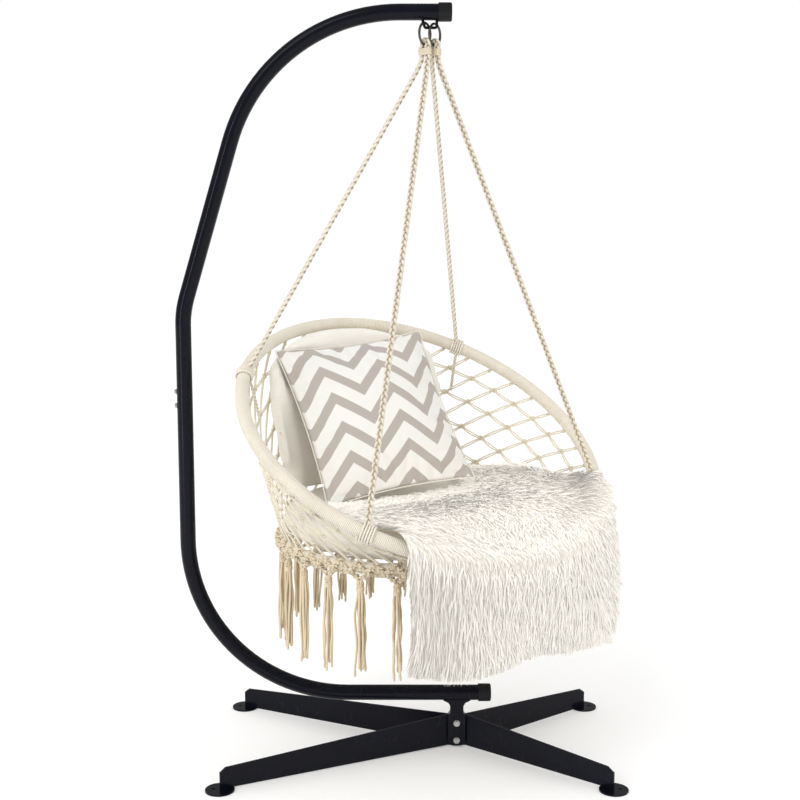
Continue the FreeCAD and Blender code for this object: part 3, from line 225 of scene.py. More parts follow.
class Skin:
    """Gathers tubes, sheets and tufts and makes one mesh of them.

    A tip holds the offsets of its two rings from the tube's end and their radii, both in
    radii of the tube there.
    """

    FIRST_TIP = ((0.9, 0.35), (1.0575, 0.28))
    LAST_TIP = ((0.45, 0.8), (1.17, 0.28))

    def __init__(self) -> None:
        """Starts with nothing gathered."""
        self.points: list[np.ndarray] = []
        self.crease: list[np.ndarray] = []
        self.quads: list[np.ndarray] = []
        self.quad_uvs: list[np.ndarray] = []
        self.count = 0

    def grid(self, points: np.ndarray, uv: np.ndarray, crease: np.ndarray | None = None,
             around: bool = False, along: bool = False, shift: int = 0) -> None:
        """Adds rows and columns of points as a sheet of four-sided faces.

        Args:
            points: Rows by columns by 3.
            uv: Rows by columns by 2, one more of each that wraps.
            crease: Rows by columns, 0 in a groove to 1 on a ridge.
            around: Whether the last column joins the first.
            along: Whether the last row joins the first.
            shift: Rows that the seam moves by, for a thread that climbs once round.
        """
        rows, columns = points.shape[:2]
        i = np.arange(rows if along else rows - 1 - (shift if around else 0))[:, None]
        j = np.arange(columns if around else columns - 1)[None, :]
        wraps = (j + 1) // columns
        ahead = (j + 1) % columns

        def index(row: np.ndarray, column: np.ndarray) -> np.ndarray:
            """Vertex numbers on the grid."""
            return (row % rows) * columns + column + self.count

        quads = np.stack([index(i, j + 0 * i), index(i + shift * wraps, ahead + 0 * i),
                          index(i + 1 + shift * wraps, ahead + 0 * i),
                          index(i + 1, j + 0 * i)], axis=-1).reshape(-1, 4)
        corner = [uv[i, j], uv[i, j + 1], uv[i + 1, j + 1], uv[i + 1, j]]
        self.quads.append(quads)
        self.quad_uvs.append(np.stack([np.broadcast_to(c, i.shape[:1] + j.shape[1:] + (2,))
                                       for c in corner], axis=2).reshape(-1, 4, 2))
        self.points.append(points.reshape(-1, 3))
        ones = np.ones((rows, columns)) if crease is None else crease
        self.crease.append(ones.reshape(-1))
        self.count += rows * columns

    def tubes(self, paths: np.ndarray, radius: float | np.ndarray, sides: int = 6,
              crease: np.ndarray | None = None, closed: bool = False,
              taper: float = 0.0) -> None:
        """Adds round tubes, all with as many points.

        Args:
            paths: Tubes by points by 3.
            radius: One radius, or one for each tube and point.
            sides: Faces round each tube.
            crease: Tubes by points, 0 in a groove to 1 on a ridge.
            closed: Whether each tube is a loop.
            taper: How far the drawn-in tips of an open tube stand out, 0 for none.
        """
        number, length = paths.shape[:2]
        step = np.roll(paths, -1, 1) - np.roll(paths, 1, 1)
        if not closed:
            step[:, 0] = paths[:, 1] - paths[:, 0]
            step[:, -1] = paths[:, -1] - paths[:, -2]
        tangent = unit(step)
        side = np.zeros_like(paths)
        before = np.eye(3)[np.abs(tangent[:, 0]).argmin(-1)]
        for k in range(length):
            along = (before * tangent[:, k]).sum(-1, keepdims=True)
            before = unit(before - along * tangent[:, k])
            side[:, k] = before
        other = np.cross(tangent, side)
        radii = np.broadcast_to(np.asarray(radius, float), (number, length))
        turn = turns_of(sides)
        ring = (side[:, :, None] * np.cos(turn)[:, None]
                + other[:, :, None] * np.sin(turn)[:, None])
        if not closed and taper > 0:
            first, last = np.array(self.FIRST_TIP), np.array(self.LAST_TIP)
            before = tangent[:, :1] * (radii[:, :1] * first[:, 0] * taper)[..., None]
            after = tangent[:, -1:] * (radii[:, -1:] * last[:, 0] * taper)[..., None]
            paths = np.concatenate([paths[:, :1] - before, paths, paths[:, -1:] + after], axis=1)
            radii = np.concatenate([radii[:, :1] * first[:, 1], radii,
                                    radii[:, -1:] * last[:, 1]], axis=1)
            ring = np.pad(ring, ((0, 0), (2, 2), (0, 0), (0, 0)), mode="edge")
            if crease is not None:
                crease = np.pad(crease, ((0, 0), (2, 2)), mode="edge")
        points = paths[:, :, None] + ring * radii[:, :, None, None]
        run = run_along(paths)
        if closed:
            run = np.concatenate([run, run[:, -1:] + run[:, 1:2]], axis=1)
        across = np.linspace(0, 1, sides + 1)
        for k in range(number):
            uv = np.stack(np.broadcast_arrays(run[k][:, None], across[None, :]), axis=-1)
            shade = None if crease is None else np.repeat(crease[k][:, None], sides, 1)
            self.grid(points[k], uv, shade, around=True, along=closed)

    def build(self, name: str, finish: bpy.types.Material, slot: Slot,
              *nodes: str) -> bpy.types.Object:
        """Args:
            name: The piece's name.
            finish: Its material.
            slot: The slot of its finish.
            nodes: The solids that it stands for.

        Returns:
            The new object.
        """
        points = AXES.world(np.concatenate(self.points))
        quads = np.concatenate(self.quads)
        mesh = bpy.data.meshes.new(name)
        mesh.vertices.add(len(points))
        mesh.vertices.foreach_set("co", points.astype(np.float32).ravel())
        mesh.loops.add(quads.size)
        mesh.loops.foreach_set("vertex_index", quads.astype(np.int32).ravel())
        mesh.polygons.add(len(quads))
        mesh.polygons.foreach_set("loop_start", np.arange(0, quads.size, 4, dtype=np.int32))
        dress(mesh, np.concatenate(self.quad_uvs), np.concatenate(self.crease), finish)
        mesh.update(calc_edges=True)
        mesh.validate()
        return declare(mesh, slot, *nodes)


def dress(mesh: bpy.types.Mesh, uvs: np.ndarray, groove: np.ndarray,
          finish: bpy.types.Material) -> None:
    """Gives a mesh its UV map, grooves, smooth shading and finish.

    Args:
        mesh: The mesh.
        uvs: Its UV map, corner by corner.
        groove: For each point, 0 in a groove to 1 on a ridge.
        finish: Its material.
    """
    layer = mesh.uv_layers.new(name="Run")
    layer.data.foreach_set("uv", uvs.astype(np.float32).ravel())
    kept = mesh.attributes.new("groove", "FLOAT", "POINT")
    kept.data.foreach_set("value", groove.astype(np.float32))
    mesh.polygons.foreach_set("use_smooth", np.ones(len(mesh.polygons), bool))
    mesh.materials.append(finish)


def declare(mesh: bpy.types.Mesh, slot: Slot, *nodes: str) -> bpy.types.Object:
    """Makes a mesh a piece that rides on the chair and stands for some of its solids.

    Args:
        mesh: The mesh, whose name the piece takes.
        slot: Not used.
        nodes: The solids that it stands for.

    Returns:
        The piece.
    """
    piece = bpy.data.objects.new(mesh.name, mesh)
    bpy.context.scene.collection.objects.link(piece)
    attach(piece, CHAIR_BODY)
    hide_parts(*nodes)
    LOG.info("%s: %d faces", piece.name, len(mesh.polygons))
    return piece


class Recipe:
    """Builds one material's nodes."""

    def __init__(self, name: str) -> None:
        """Starts a material with one shader.

        Args:
            name: The material's name.
        """
        self.material = bpy.data.materials.new(name)
        self.material.use_nodes = True
        self.tree = self.material.node_tree
        self.shader = next(n for n in self.tree.nodes if n.type == "BSDF_PRINCIPLED")

    def node(self, kind: str, inputs: dict | None = None, **settings: object) -> bpy.types.Node:
        """Adds a node.

        Args:
            kind: Blender's name of the node type.
            inputs: Values or other nodes' outputs, by input name or number.
            settings: Properties of the node.

        Returns:
            The node.
        """
        made = self.tree.nodes.new(kind)
        for key, value in settings.items():
            setattr(made, key, value)
        for key, value in (inputs or {}).items():
            if isinstance(value, bpy.types.NodeSocket):
                self.tree.links.new(value, made.inputs[key])
            else:
                made.inputs[key].default_value = value
        return made

    def place(self, scale: tuple[float, float, float] = (1, 1, 1), uv: bool = False,
              turn: float = 0.0) -> bpy.types.NodeSocket:
        """Coordinates on the piece, by its mesh or its UV map, stretched and turned."""
        source = self.node("ShaderNodeTexCoord").outputs["UV" if uv else "Object"]
        return self.node("ShaderNodeMapping", {"Vector": source, "Scale": scale,
                                               "Rotation": (0, 0, turn)}).outputs[0]

    def noise(self, vector: bpy.types.NodeSocket, scale: float, detail: float = 3.0,
              rough: float = 0.55) -> bpy.types.NodeSocket:
        """Uneven values from 0 to 1."""
        return self.node("ShaderNodeTexNoise", {"Vector": vector, "Scale": scale,
                                                "Detail": detail,
                                                "Roughness": rough}).outputs["Fac"]

    def bands(self, vector: bpy.types.NodeSocket, scale: float, direction: str = "X",
              distortion: float = 0.0) -> bpy.types.NodeSocket:
        """Sine bands from 0 to 1 along an axis."""
        return self.node("ShaderNodeTexWave", {"Vector": vector, "Scale": scale,
                                               "Distortion": distortion, "Detail": 1.0,
                                               "Detail Scale": 1.5},
                         bands_direction=direction).outputs["Fac"]

    def weave(self, operation: str, vector: bpy.types.NodeSocket, scale: float,
              distortion: float) -> bpy.types.NodeSocket:
        """Threads that run both ways, joined by an operation."""
        return self.sum(operation, self.bands(vector, scale, "X", distortion),
                        self.bands(vector, scale, "Y", distortion))

    def sum(self, operation: str, a: object, b: object = 0.0,
            clamp: bool = False) -> bpy.types.NodeSocket:
        """Arithmetic on two values."""
        return self.node("ShaderNodeMath", {0: a, 1: b}, operation=operation,
                         use_clamp=clamp).outputs[0]

    def mapped(self, value: bpy.types.NodeSocket, low: float, high: float, to_low: float,
               to_high: float) -> bpy.types.NodeSocket:
        """A value's range moved to another range, and held there."""
        return self.node("ShaderNodeMapRange", {"Value": value, "From Min": low,
                                                "From Max": high, "To Min": to_low,
                                                "To Max": to_high}).outputs[0]

    def blend(self, share: object, a: object, b: object) -> bpy.types.NodeSocket:
        """A colour between two colours."""
        return self.node("ShaderNodeMix", {0: share, 6: a, 7: b}, data_type="RGBA").outputs[2]

    def groove(self) -> bpy.types.NodeSocket:
        """0 in the grooves of the piece and 1 on its ridges."""
        return self.node("ShaderNodeAttribute", attribute_name="groove").outputs["Fac"]

    def relief(self, height: bpy.types.NodeSocket, strength: float, depth: float,
               under: bpy.types.NodeSocket | None = None) -> bpy.types.NodeSocket:
        """A bumped normal."""
        inputs = {"Height": height, "Strength": strength, "Distance": depth}
        if under is not None:
            inputs["Normal"] = under
        return self.node("ShaderNodeBump", inputs).outputs[0]

    def finish(self, **inputs: object) -> bpy.types.Material:
        """Sets the shader's sockets and gives the material.

        Args:
            inputs: Values or outputs, by socket name with _ for a space.

        Returns:
            The material.
        """
        for key, value in inputs.items():
            socket = self.shader.inputs[key.replace("_", " ")]
            if isinstance(value, bpy.types.NodeSocket):
                self.tree.links.new(value, socket)
            else:
                socket.default_value = value
        return self.material


def rgba(colour: tuple[float, float, float], light: float = 1.0) -> tuple[float, ...]:
    """A colour with its strength changed, as four numbers."""
    return tuple(min(1.0, c * light) for c in colour) + (1.0,)


@dataclass(frozen=True)
class PowderCoat:
    """Satin black paint baked on steel, fine-grained, worn a little at random."""

    name: str = "satin_black_paint"
    colour: tuple[float, float, float] = (0.0036, 0.0042, 0.0085)
    roughness: float = 0.25

    def material(self) -> bpy.types.Material:
        """The paint's material."""
        r = Recipe(self.name)
        place = r.place()
        grain = r.noise(place, 900.0, 2.0)
        clouds = r.noise(place, 14.0, 4.0)
        scuffs = r.sum("POWER", r.noise(r.place((60, 60, 7)), 3.0, 6.0, 0.7), 6.0)
        colour = r.blend(clouds, rgba(self.colour, 0.8), rgba(self.colour, 1.35))
        colour = r.blend(r.mapped(scuffs, 0.02, 0.3, 0.0, 0.5), colour, (0.022, 0.023, 0.027, 1))
        rough = r.mapped(r.sum("ADD", clouds, scuffs), 0.3, 1.1, self.roughness - 0.07,
                         self.roughness + 0.16)
        return r.finish(Base_Color=colour, Roughness=rough, Specular_IOR_Level=0.1,
                        Coat_Weight=0.1, Coat_Roughness=0.1,
                        Normal=r.relief(grain, 0.07, 0.0003))


@dataclass(frozen=True)
class ZincPlate:
    """Zinc-plated steel, bright with dull patches and fine drawing lines."""

    name: str = "zinc_plated_steel"
    colour: tuple[float, float, float] = (0.56, 0.555, 0.54)

    def material(self) -> bpy.types.Material:
        """The plating's material."""
        r = Recipe(self.name)
        place = r.place()
        clouds = r.noise(place, 160.0, 4.0, 0.65)
        lines = r.noise(r.place((1, 1, 14)), 420.0, 2.0)
        colour = r.blend(clouds, rgba(self.colour, 0.72), rgba(self.colour, 1.12))
        return r.finish(Base_Color=colour, Metallic=1.0,
                        Roughness=r.mapped(clouds, 0.25, 0.8, 0.2, 0.44),
                        Normal=r.relief(lines, 0.12, 0.0002))


@dataclass(frozen=True)
class MouldedPlastic:
    """Matte black moulded plastic with a spark-eroded grain."""

    name: str = "moulded_black_plastic"
    colour: tuple[float, float, float] = (0.006, 0.0063, 0.0082)

    def material(self) -> bpy.types.Material:
        """The plastic's material."""
        r = Recipe(self.name)
        grain = r.noise(r.place(), 1500.0, 3.0)
        clouds = r.noise(r.place(), 40.0, 3.0)
        colour = r.blend(clouds, rgba(self.colour, 0.85), rgba(self.colour, 1.3))
        return r.finish(Base_Color=colour, Roughness=r.mapped(clouds, 0.2, 0.8, 0.46, 0.6),
                        Specular_IOR_Level=0.25,
                        Normal=r.relief(grain, 0.3, 0.0003))


@dataclass(frozen=True)
class CottonCord:
    """Twisted cotton: fibres that run askew, plies, and painted shade in its grooves and between
    its plies.
    """

    name: str
    light: tuple[float, float, float]
    shade: tuple[float, float, float]
    ply_length: float = 0.0042
    plies: float = 3.0
    groove_share: float = 1.0
    fuzz: float = 0.35

    def material(self) -> bpy.types.Material:
        """The cord's material."""
        r = Recipe(self.name)
        along = r.place((1.0 / self.ply_length, self.plies, 1.0), uv=True)
        slant = r.node("ShaderNodeSeparateXYZ", {0: along})
        twist = r.sum("FRACT", r.sum("ADD", slant.outputs[0], slant.outputs[1]))
        hump = r.sum("SUBTRACT", 1.0, r.sum("ABSOLUTE", r.sum(
            "SUBTRACT", r.sum("MULTIPLY", twist, 2.0), 1.0)))
        ridge = r.sum("POWER", hump, 0.5)
        fibres = r.noise(r.place((900.0, 40.0, 1.0), uv=True, turn=0.5), 1.0, 3.0, 0.7)
        clouds = r.noise(r.place(), 22.0, 4.0, 0.6)
        specks = r.noise(r.place(), 320.0, 3.0, 0.6)
        tone = r.blend(r.mapped(clouds, 0.3, 0.75, 0.0, 0.75), rgba(self.light, 1.04),
                       rgba(self.light, 0.9))
        tone = r.blend(r.mapped(specks, 0.5, 0.8, 0.0, 0.35), tone, rgba(self.shade, 1.2))
        # Painted shade in the grooves, set by the groove values and varied by the specks.
        painted_groove_shade = r.sum("MULTIPLY", r.mapped(r.groove(), 0.0, 0.9, self.groove_share, 0.0),
                     r.mapped(specks, 0.2, 0.8, 1.0, 0.6))
        tone = r.blend(painted_groove_shade, tone, rgba(self.shade))
        # Painted shade in the twist between the plies.
        tone = r.blend(r.mapped(ridge, 0.0, 0.6, 0.45, 0.0), tone, rgba(self.shade))
        height = r.sum("ADD", r.sum("MULTIPLY", ridge, 0.8), r.sum("MULTIPLY", fibres, 0.3))
        return r.finish(Base_Color=tone, Roughness=r.mapped(fibres, 0.2, 0.8, 0.72, 0.95),
                        Sheen_Weight=self.fuzz, Sheen_Roughness=0.5,
                        Specular_IOR_Level=0.25, Normal=r.relief(height, 0.55, 0.0006))


@dataclass(frozen=True)
class PlainCover:
    """A cream cotton cover in plain weave."""

    name: str = "cream_cotton_cover"
    light: tuple[float, float, float] = (0.90, 0.865, 0.79)
    shade: tuple[float, float, float] = (0.72, 0.65, 0.53)
    thread: float = 900.0

    def material(self) -> bpy.types.Material:
        """The cover's material."""
        r = Recipe(self.name)
        place = r.place()
        warp = r.bands(place, self.thread / 6.0, "DIAGONAL", 0.4)
        weft = r.bands(r.place((1, -1, 1)), self.thread / 6.0, "DIAGONAL", 0.4)
        weave = r.sum("MAXIMUM", warp, weft)
        clouds = r.noise(place, 9.0, 4.0, 0.55)
        slubs = r.noise(r.place((30, 30, 300)), 1.0, 3.0)
        tone = r.blend(clouds, rgba(self.light, 1.05), rgba(self.light, 0.93))
        tone = r.blend(r.mapped(slubs, 0.55, 0.85, 0.0, 0.35), tone, rgba(self.shade))
        # Painted shade where the groove values are low, on the seat's welt and the pillow's
        # piping.
        tone = r.blend(r.mapped(r.groove(), 0.0, 1.0, 0.75, 0.0), tone, rgba(self.shade))
        return r.finish(Base_Color=tone, Roughness=r.mapped(clouds, 0.2, 0.8, 0.8, 0.92),
                        Sheen_Weight=0.25, Sheen_Roughness=0.45, Specular_IOR_Level=0.2,
                        Normal=r.relief(weave, 0.35, 0.0003,
                                        r.relief(clouds, 0.25, 0.004)))


@dataclass(frozen=True)
class ZigzagCover:
    """A white cotton cover printed with a plain zigzag stripe in warm grey.

    The pillow's UV map holds metres across its face, from its middle.
    """

    name: str = "zigzag_cotton_cover"
    ground: tuple[float, float, float] = (0.87, 0.855, 0.81)
    stripe: tuple[float, float, float] = (0.47, 0.425, 0.385)
    pitch: float = 0.082
    stripe_width: float = 0.034
    repeat: float = 0.170
    height: float = 0.078
    across_offset: float = 0.078
    up_offset: float = -0.004

    def material(self) -> bpy.types.Material:
        """The printed cover's material."""
        r = Recipe(self.name)
        where = r.node("ShaderNodeSeparateXYZ", {0: r.place(uv=True)})
        across, up = where.outputs[0], where.outputs[1]
        phase = r.sum("FRACT", r.sum("DIVIDE", r.sum("ADD", across, 10 + self.across_offset),
                                     self.repeat))
        peak = r.sum("ABSOLUTE", r.sum("SUBTRACT", r.sum("MULTIPLY", phase, 2.0), 1.0))
        level = r.sum("ADD", r.sum("ADD", up, 10 + self.up_offset),
                      r.sum("MULTIPLY", peak, self.height))
        band = r.sum("FRACT", r.sum("DIVIDE", level, self.pitch))
        edge = r.sum("ABSOLUTE", r.sum("SUBTRACT", band, 0.5))
        half = 0.5 * self.stripe_width / self.pitch
        printed = r.mapped(edge, half - 0.012, half + 0.012, 1.0, 0.0)
        weave = r.weave("MAXIMUM", r.place(uv=True), 330.0, 0.3)
        clouds = r.noise(r.place(), 12.0, 4.0, 0.55)
        ground = r.blend(clouds, rgba(self.ground, 1.03), rgba(self.ground, 0.95))
        ink = r.blend(r.mapped(weave, 0.2, 1.0, 0.3, 0.0), rgba(self.stripe),
                      rgba(self.stripe, 1.25))
        tone = r.blend(printed, ground, ink)
        # Painted shade near the pillow's seam, where the groove values are low.
        tone = r.blend(r.mapped(r.groove(), 0.0, 1.0, 0.6, 0.0), tone, (0.45, 0.40, 0.33, 1))
        return r.finish(Base_Color=tone, Roughness=r.mapped(clouds, 0.2, 0.8, 0.78, 0.9),
                        Sheen_Weight=0.2, Sheen_Roughness=0.5, Specular_IOR_Level=0.2,
                        Normal=r.relief(weave, 0.3, 0.0003, r.relief(clouds, 0.2, 0.003)))


@dataclass(frozen=True)
class FurPile:
    """Long white synthetic fur: creamy at the roots, white at the tips.

    Its glow stands for light that passes from hair to hair, more so where the pile lies
    level. Each hair is shaded by the direction in its attribute named lie.
    """

    name: str = "long_white_fur"
    glow: float = 0.18
    dense_glow: float = 0.18
    tip: tuple[float, float, float] = (0.93, 0.90, 0.845)
    root: tuple[float, float, float] = (0.89, 0.84, 0.75)

    def material(self) -> bpy.types.Material:
        """The fur's material."""
        r = Recipe(self.name)
        strands = r.noise(r.place((1.5, 60.0, 1.0), uv=True), 12.0, 3.0, 0.7)
        locks = r.noise(r.place(), 26.0, 3.0, 0.6)
        tone = r.blend(r.groove(), rgba(self.root), rgba(self.tip))
        tone = r.blend(r.mapped(strands, 0.35, 0.75, 0.0, 0.35), tone, rgba(self.root, 0.95))
        tone = r.blend(r.mapped(locks, 0.45, 0.8, 0.0, 0.3), tone, rgba(self.root, 1.05))
        lie = r.node("ShaderNodeAttribute", attribute_name="lie").outputs["Vector"]
        facing = r.node("ShaderNodeVectorTransform", {0: lie}, vector_type="NORMAL",
                        convert_from="OBJECT", convert_to="WORLD").outputs[0]
        height = r.node("ShaderNodeSeparateXYZ", {0: lie}).outputs[2]
        dense = r.mapped(height, 0.15, 0.85, self.glow, self.glow + self.dense_glow)
        return r.finish(Base_Color=tone, Roughness=r.mapped(strands, 0.2, 0.8, 0.6, 0.85),
                        Sheen_Weight=0.25, Sheen_Roughness=0.4, Specular_IOR_Level=0.2,
                        Emission_Color=(1.0, 0.945, 0.86, 1.0), Emission_Strength=dense,
                        Normal=r.relief(strands, 0.3, 0.0005, facing))


@dataclass(frozen=True)
class HideBacking:
    """The woven tan backing of the fur."""

    name: str = "woven_fur_backing"
    light: tuple[float, float, float] = (0.72, 0.64, 0.50)
    shade: tuple[float, float, float] = (0.5, 0.42, 0.30)

    def material(self) -> bpy.types.Material:
        """The backing's material."""
        r = Recipe(self.name)
        knit = r.weave("MULTIPLY", r.place(uv=True), 150.0, 0.6)
        clouds = r.noise(r.place(), 18.0, 4.0)
        tone = r.blend(clouds, rgba(self.light), rgba(self.light, 0.85))
        tone = r.blend(r.mapped(knit, 0.0, 0.6, 0.5, 0.0), tone, rgba(self.shade))
        return r.finish(Base_Color=tone, Roughness=r.mapped(clouds, 0.2, 0.8, 0.85, 0.95),
                        Sheen_Weight=0.3, Specular_IOR_Level=0.2,
                        Normal=r.relief(knit, 0.4, 0.0008))


ROPE = CottonCord("braided_cotton_rope", (0.86, 0.80, 0.67), (0.20, 0.125, 0.05),
                  ply_length=0.0034, plies=2.0)
WRAP = CottonCord("wound_cotton_cord", (0.90, 0.85, 0.745), (0.42, 0.30, 0.155),
                  ply_length=0.0030, plies=1.0, groove_share=0.8)
NET = CottonCord("netted_cotton_cord", (0.85, 0.785, 0.64), (0.42, 0.29, 0.14),
                 ply_length=0.0040, plies=2.0, groove_share=0.85)
KNOTTED = CottonCord("knotted_cotton_cord", (0.82, 0.73, 0.56), (0.33, 0.205, 0.09),
                     ply_length=0.0040, plies=2.0, groove_share=0.95)
FRINGE = CottonCord("fringe_cotton_cord", (0.84, 0.72, 0.51), (0.42, 0.28, 0.13),
                    ply_length=0.0052, plies=2.0, groove_share=0.7, fuzz=0.5)


@dataclass
class Studio:
    """The camera, the floor, the lamps and the pale surroundings."""

    focal: float = 60.5
    sensor: float = 36.0
    camera_place: tuple[float, float, float] = (-0.041, -3.384, 1.409)
    camera_pitch: float = 81.81
    clip: tuple[float, float] = (0.05, 60.0)
    floor_half: float = 14.0
    floor_height: float = -0.0004
    floor_tones: tuple[tuple[float, ...], ...] = ((0.84, 0.84, 0.835, 1), (0.86, 0.86, 0.855, 1))
    floor_glow: float = 0.22
    surroundings: float = 0.88
    mirrored: float = 0.38
    strip_size: tuple[float, float] = (0.22, 3.2)
    strip_power: float = 34.0
    strip_place: tuple[float, float, float] = (-3.1, -3.1, 1.5)
    strip_turn: tuple[float, float, float] = (90.0, 0.0, -40.0)
    suns: tuple[tuple[str, float, float, tuple[float, float, float]], ...] = (
        ("soft_key", 0.60, 35.0, (48.0, 0.0, -38.0)),
        ("soft_fill", 0.35, 60.0, (70.0, 0.0, 60.0)))

    def put(self, name: str, data: bpy.types.ID, place: tuple[float, ...] = (0, 0, 0),
            turn: tuple[float, ...] = (0, 0, 0)) -> bpy.types.Object:
        """Adds an object to the scene.

        Args:
            name: Its name.
            data: Its camera, lamp or mesh.
            place: Where it stands.
            turn: Its turns about x, y and z.

        Returns:
            The object.
        """
        made = bpy.data.objects.new(name, data)
        made.location = place
        made.rotation_euler = tuple(math.radians(a) for a in turn)
        bpy.context.scene.collection.objects.link(made)
        return made

    def place_camera(self) -> None:
        """Puts the camera where the photograph was taken from."""
        data = bpy.data.cameras.new("photo_camera")
        data.lens, data.sensor_width = self.focal, self.sensor
        data.clip_start, data.clip_end = self.clip
        bpy.context.scene.camera = self.put("photo_camera", data, self.camera_place,
                                            (self.camera_pitch, 0.0, 0.0))

    def lay_floor(self) -> None:
        """Lays a pale floor that shows white to the camera and keeps the shadow."""
        mesh = bpy.data.meshes.new("studio_floor")
        corners = [(x * self.floor_half, y * self.floor_half, self.floor_height)
                   for x, y in ((-1, -1), (1, -1), (1, 1), (-1, 1))]
        mesh.from_pydata(corners, [], [(0, 1, 2, 3)])
        r = Recipe("pale_floor")
        rays = r.node("ShaderNodeLightPath").outputs
        seen = r.sum("MAXIMUM", rays["Is Camera Ray"],
                     r.sum("MAXIMUM", rays["Is Glossy Ray"], rays["Is Transmission Ray"]))
        mesh.materials.append(r.finish(
            Base_Color=r.blend(r.noise(r.place(), 3.0), *self.floor_tones), Roughness=0.9,
            Specular_IOR_Level=0.0, Emission_Color=(1.0, 1.0, 1.0, 1.0),
            Emission_Strength=r.sum("MULTIPLY", seen, self.floor_glow)))
        self.put("studio_floor", mesh)

    def surround(self) -> None:
        """Makes the surroundings, which the camera sees white and a gloss sees darker."""
        world = bpy.data.worlds.new("pale_studio")
        bpy.context.scene.world = world
        world.use_nodes = True
        nodes, links = world.node_tree.nodes, world.node_tree.links
        rays = nodes.new("ShaderNodeLightPath").outputs
        seen = nodes.new("ShaderNodeMath")
        seen.operation = "MAXIMUM"
        links.new(rays["Is Camera Ray"], seen.inputs[0])
        links.new(rays["Is Transmission Ray"], seen.inputs[1])
        level, gloss = nodes.new("ShaderNodeMapRange"), nodes.new("ShaderNodeMapRange")
        level.inputs["To Min"].default_value = self.surroundings
        gloss.inputs["To Max"].default_value = self.mirrored
        links.new(seen.outputs[0], level.inputs["Value"])
        links.new(rays["Is Glossy Ray"], gloss.inputs["Value"])
        links.new(level.outputs[0], gloss.inputs["To Min"])
        back = nodes["Background"].inputs
        links.new(gloss.outputs[0], back["Strength"])
        back["Color"].default_value = (1.0, 1.0, 1.0, 1.0)

    def light(self) -> None:
        """Hangs two broad soft lamps, and an upright strip for the line on the paint."""
        strip = bpy.data.lights.new("soft_strip", "AREA")
        strip.shape, strip.energy = "RECTANGLE", self.strip_power
        strip.size, strip.size_y = self.strip_size
        self.put("soft_strip", strip, self.strip_place, self.strip_turn)
        for name, power, spread, turn in self.suns:
            data = bpy.data.lights.new(name, "SUN")
            data.energy, data.angle = power, math.radians(spread)
            self.put(name, data, turn=turn)

    def build(self) -> None:
        """Sets up the whole studio."""
        self.place_camera()
        self.lay_floor()
        self.surround()
        self.light()
        bpy.context.scene.view_settings.view_transform = "Standard"
        LOG.info("studio: camera, floor and lamps")


@dataclass
class StandDress:
    """Finishes of the stand's own parts and of the steel rings, which keep their shapes."""

    painted: tuple[str, ...] = (
        "upper_frame_tube", "lower_frame_tube", "coupling_spigot", "hanging_loop", "hub_bracket",
        "front_leg_plate", "rear_leg_plate", "front_post_foot_plate", "rear_post_foot_plate",
        "front_open_foot_plate", "rear_open_foot_plate", "hoop_frame", "seat_ring_frame")
    plated: tuple[str, ...] = ("joint_bolts", "joint_washers", "joint_nuts", "hub_bolts",
                               "hub_washers", "hub_nuts")
    rings: tuple[str, ...] = ("left_hanging_ring", "right_hanging_ring")
    moulded: tuple[str, ...] = ("top_end_cap", "bottom_end_cap")

    def build(self) -> None:
        """Gives each part its finish."""
        for names, finish in ((self.painted, PowderCoat()), (self.plated, ZincPlate()),
                              (self.rings, ZincPlate("dark_plated_wire", (0.13, 0.12, 0.10))),
                              (self.moulded, MouldedPlastic())):
            material = finish.material()
            for name in names:
                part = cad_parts[name]
                part.data.materials.clear()
                part.data.materials.append(material)
                LOG.info("%s: %s", name, material.name)


def route_line(points: list[np.ndarray], resolution: int) -> np.ndarray:
    """The smooth line of a NURBS spline through a route, read from the spline.

    Args:
        points: The route's control points, in the chair's axes.
        resolution: How finely the spline is read.

    Returns:
        Points of the line, in the chair's axes.
    """
    curve = bpy.data.curves.new("route", "CURVE")
    curve.dimensions = "3D"
    spline = curve.splines.new("NURBS")
    spline.points.add(len(points) - 1)
    for knot, point in zip(spline.points, points):
        knot.co = (*[float(c) for c in point], 1.0)
    spline.order_u = 3
    spline.use_endpoint_u = True
    spline.resolution_u = resolution
    holder = bpy.data.objects.new("route", curve)
    bpy.context.scene.collection.objects.link(holder)
    bpy.context.view_layer.update()
    read = bpy.data.meshes.new_from_object(holder)
    line = np.array([v.co for v in read.vertices], float)
    bpy.data.objects.remove(holder)
    bpy.data.meshes.remove(read)
    bpy.data.curves.remove(curve)
    return line


def evenly(line: np.ndarray, step: float) -> np.ndarray:
    """A line's points laid out again at an even step."""
    run = run_along(line)
    at = np.linspace(0.0, run[-1], max(3, int(round(run[-1] / step)) + 1))
    return np.stack([np.interp(at, run, line[:, k]) for k in range(3)], axis=1)


def side_frame(line: np.ndarray, start: np.ndarray) -> tuple[np.ndarray, np.ndarray]:
    """Two directions across a line that turn as little as they can along it."""
    tangent = unit(np.gradient(line, axis=0))
    side = np.zeros_like(line)
    before = start
    for k, heading in enumerate(tangent):
        before = unit(before - (before @ heading) * heading)
        side[k] = before
    return side, np.cross(tangent, side)


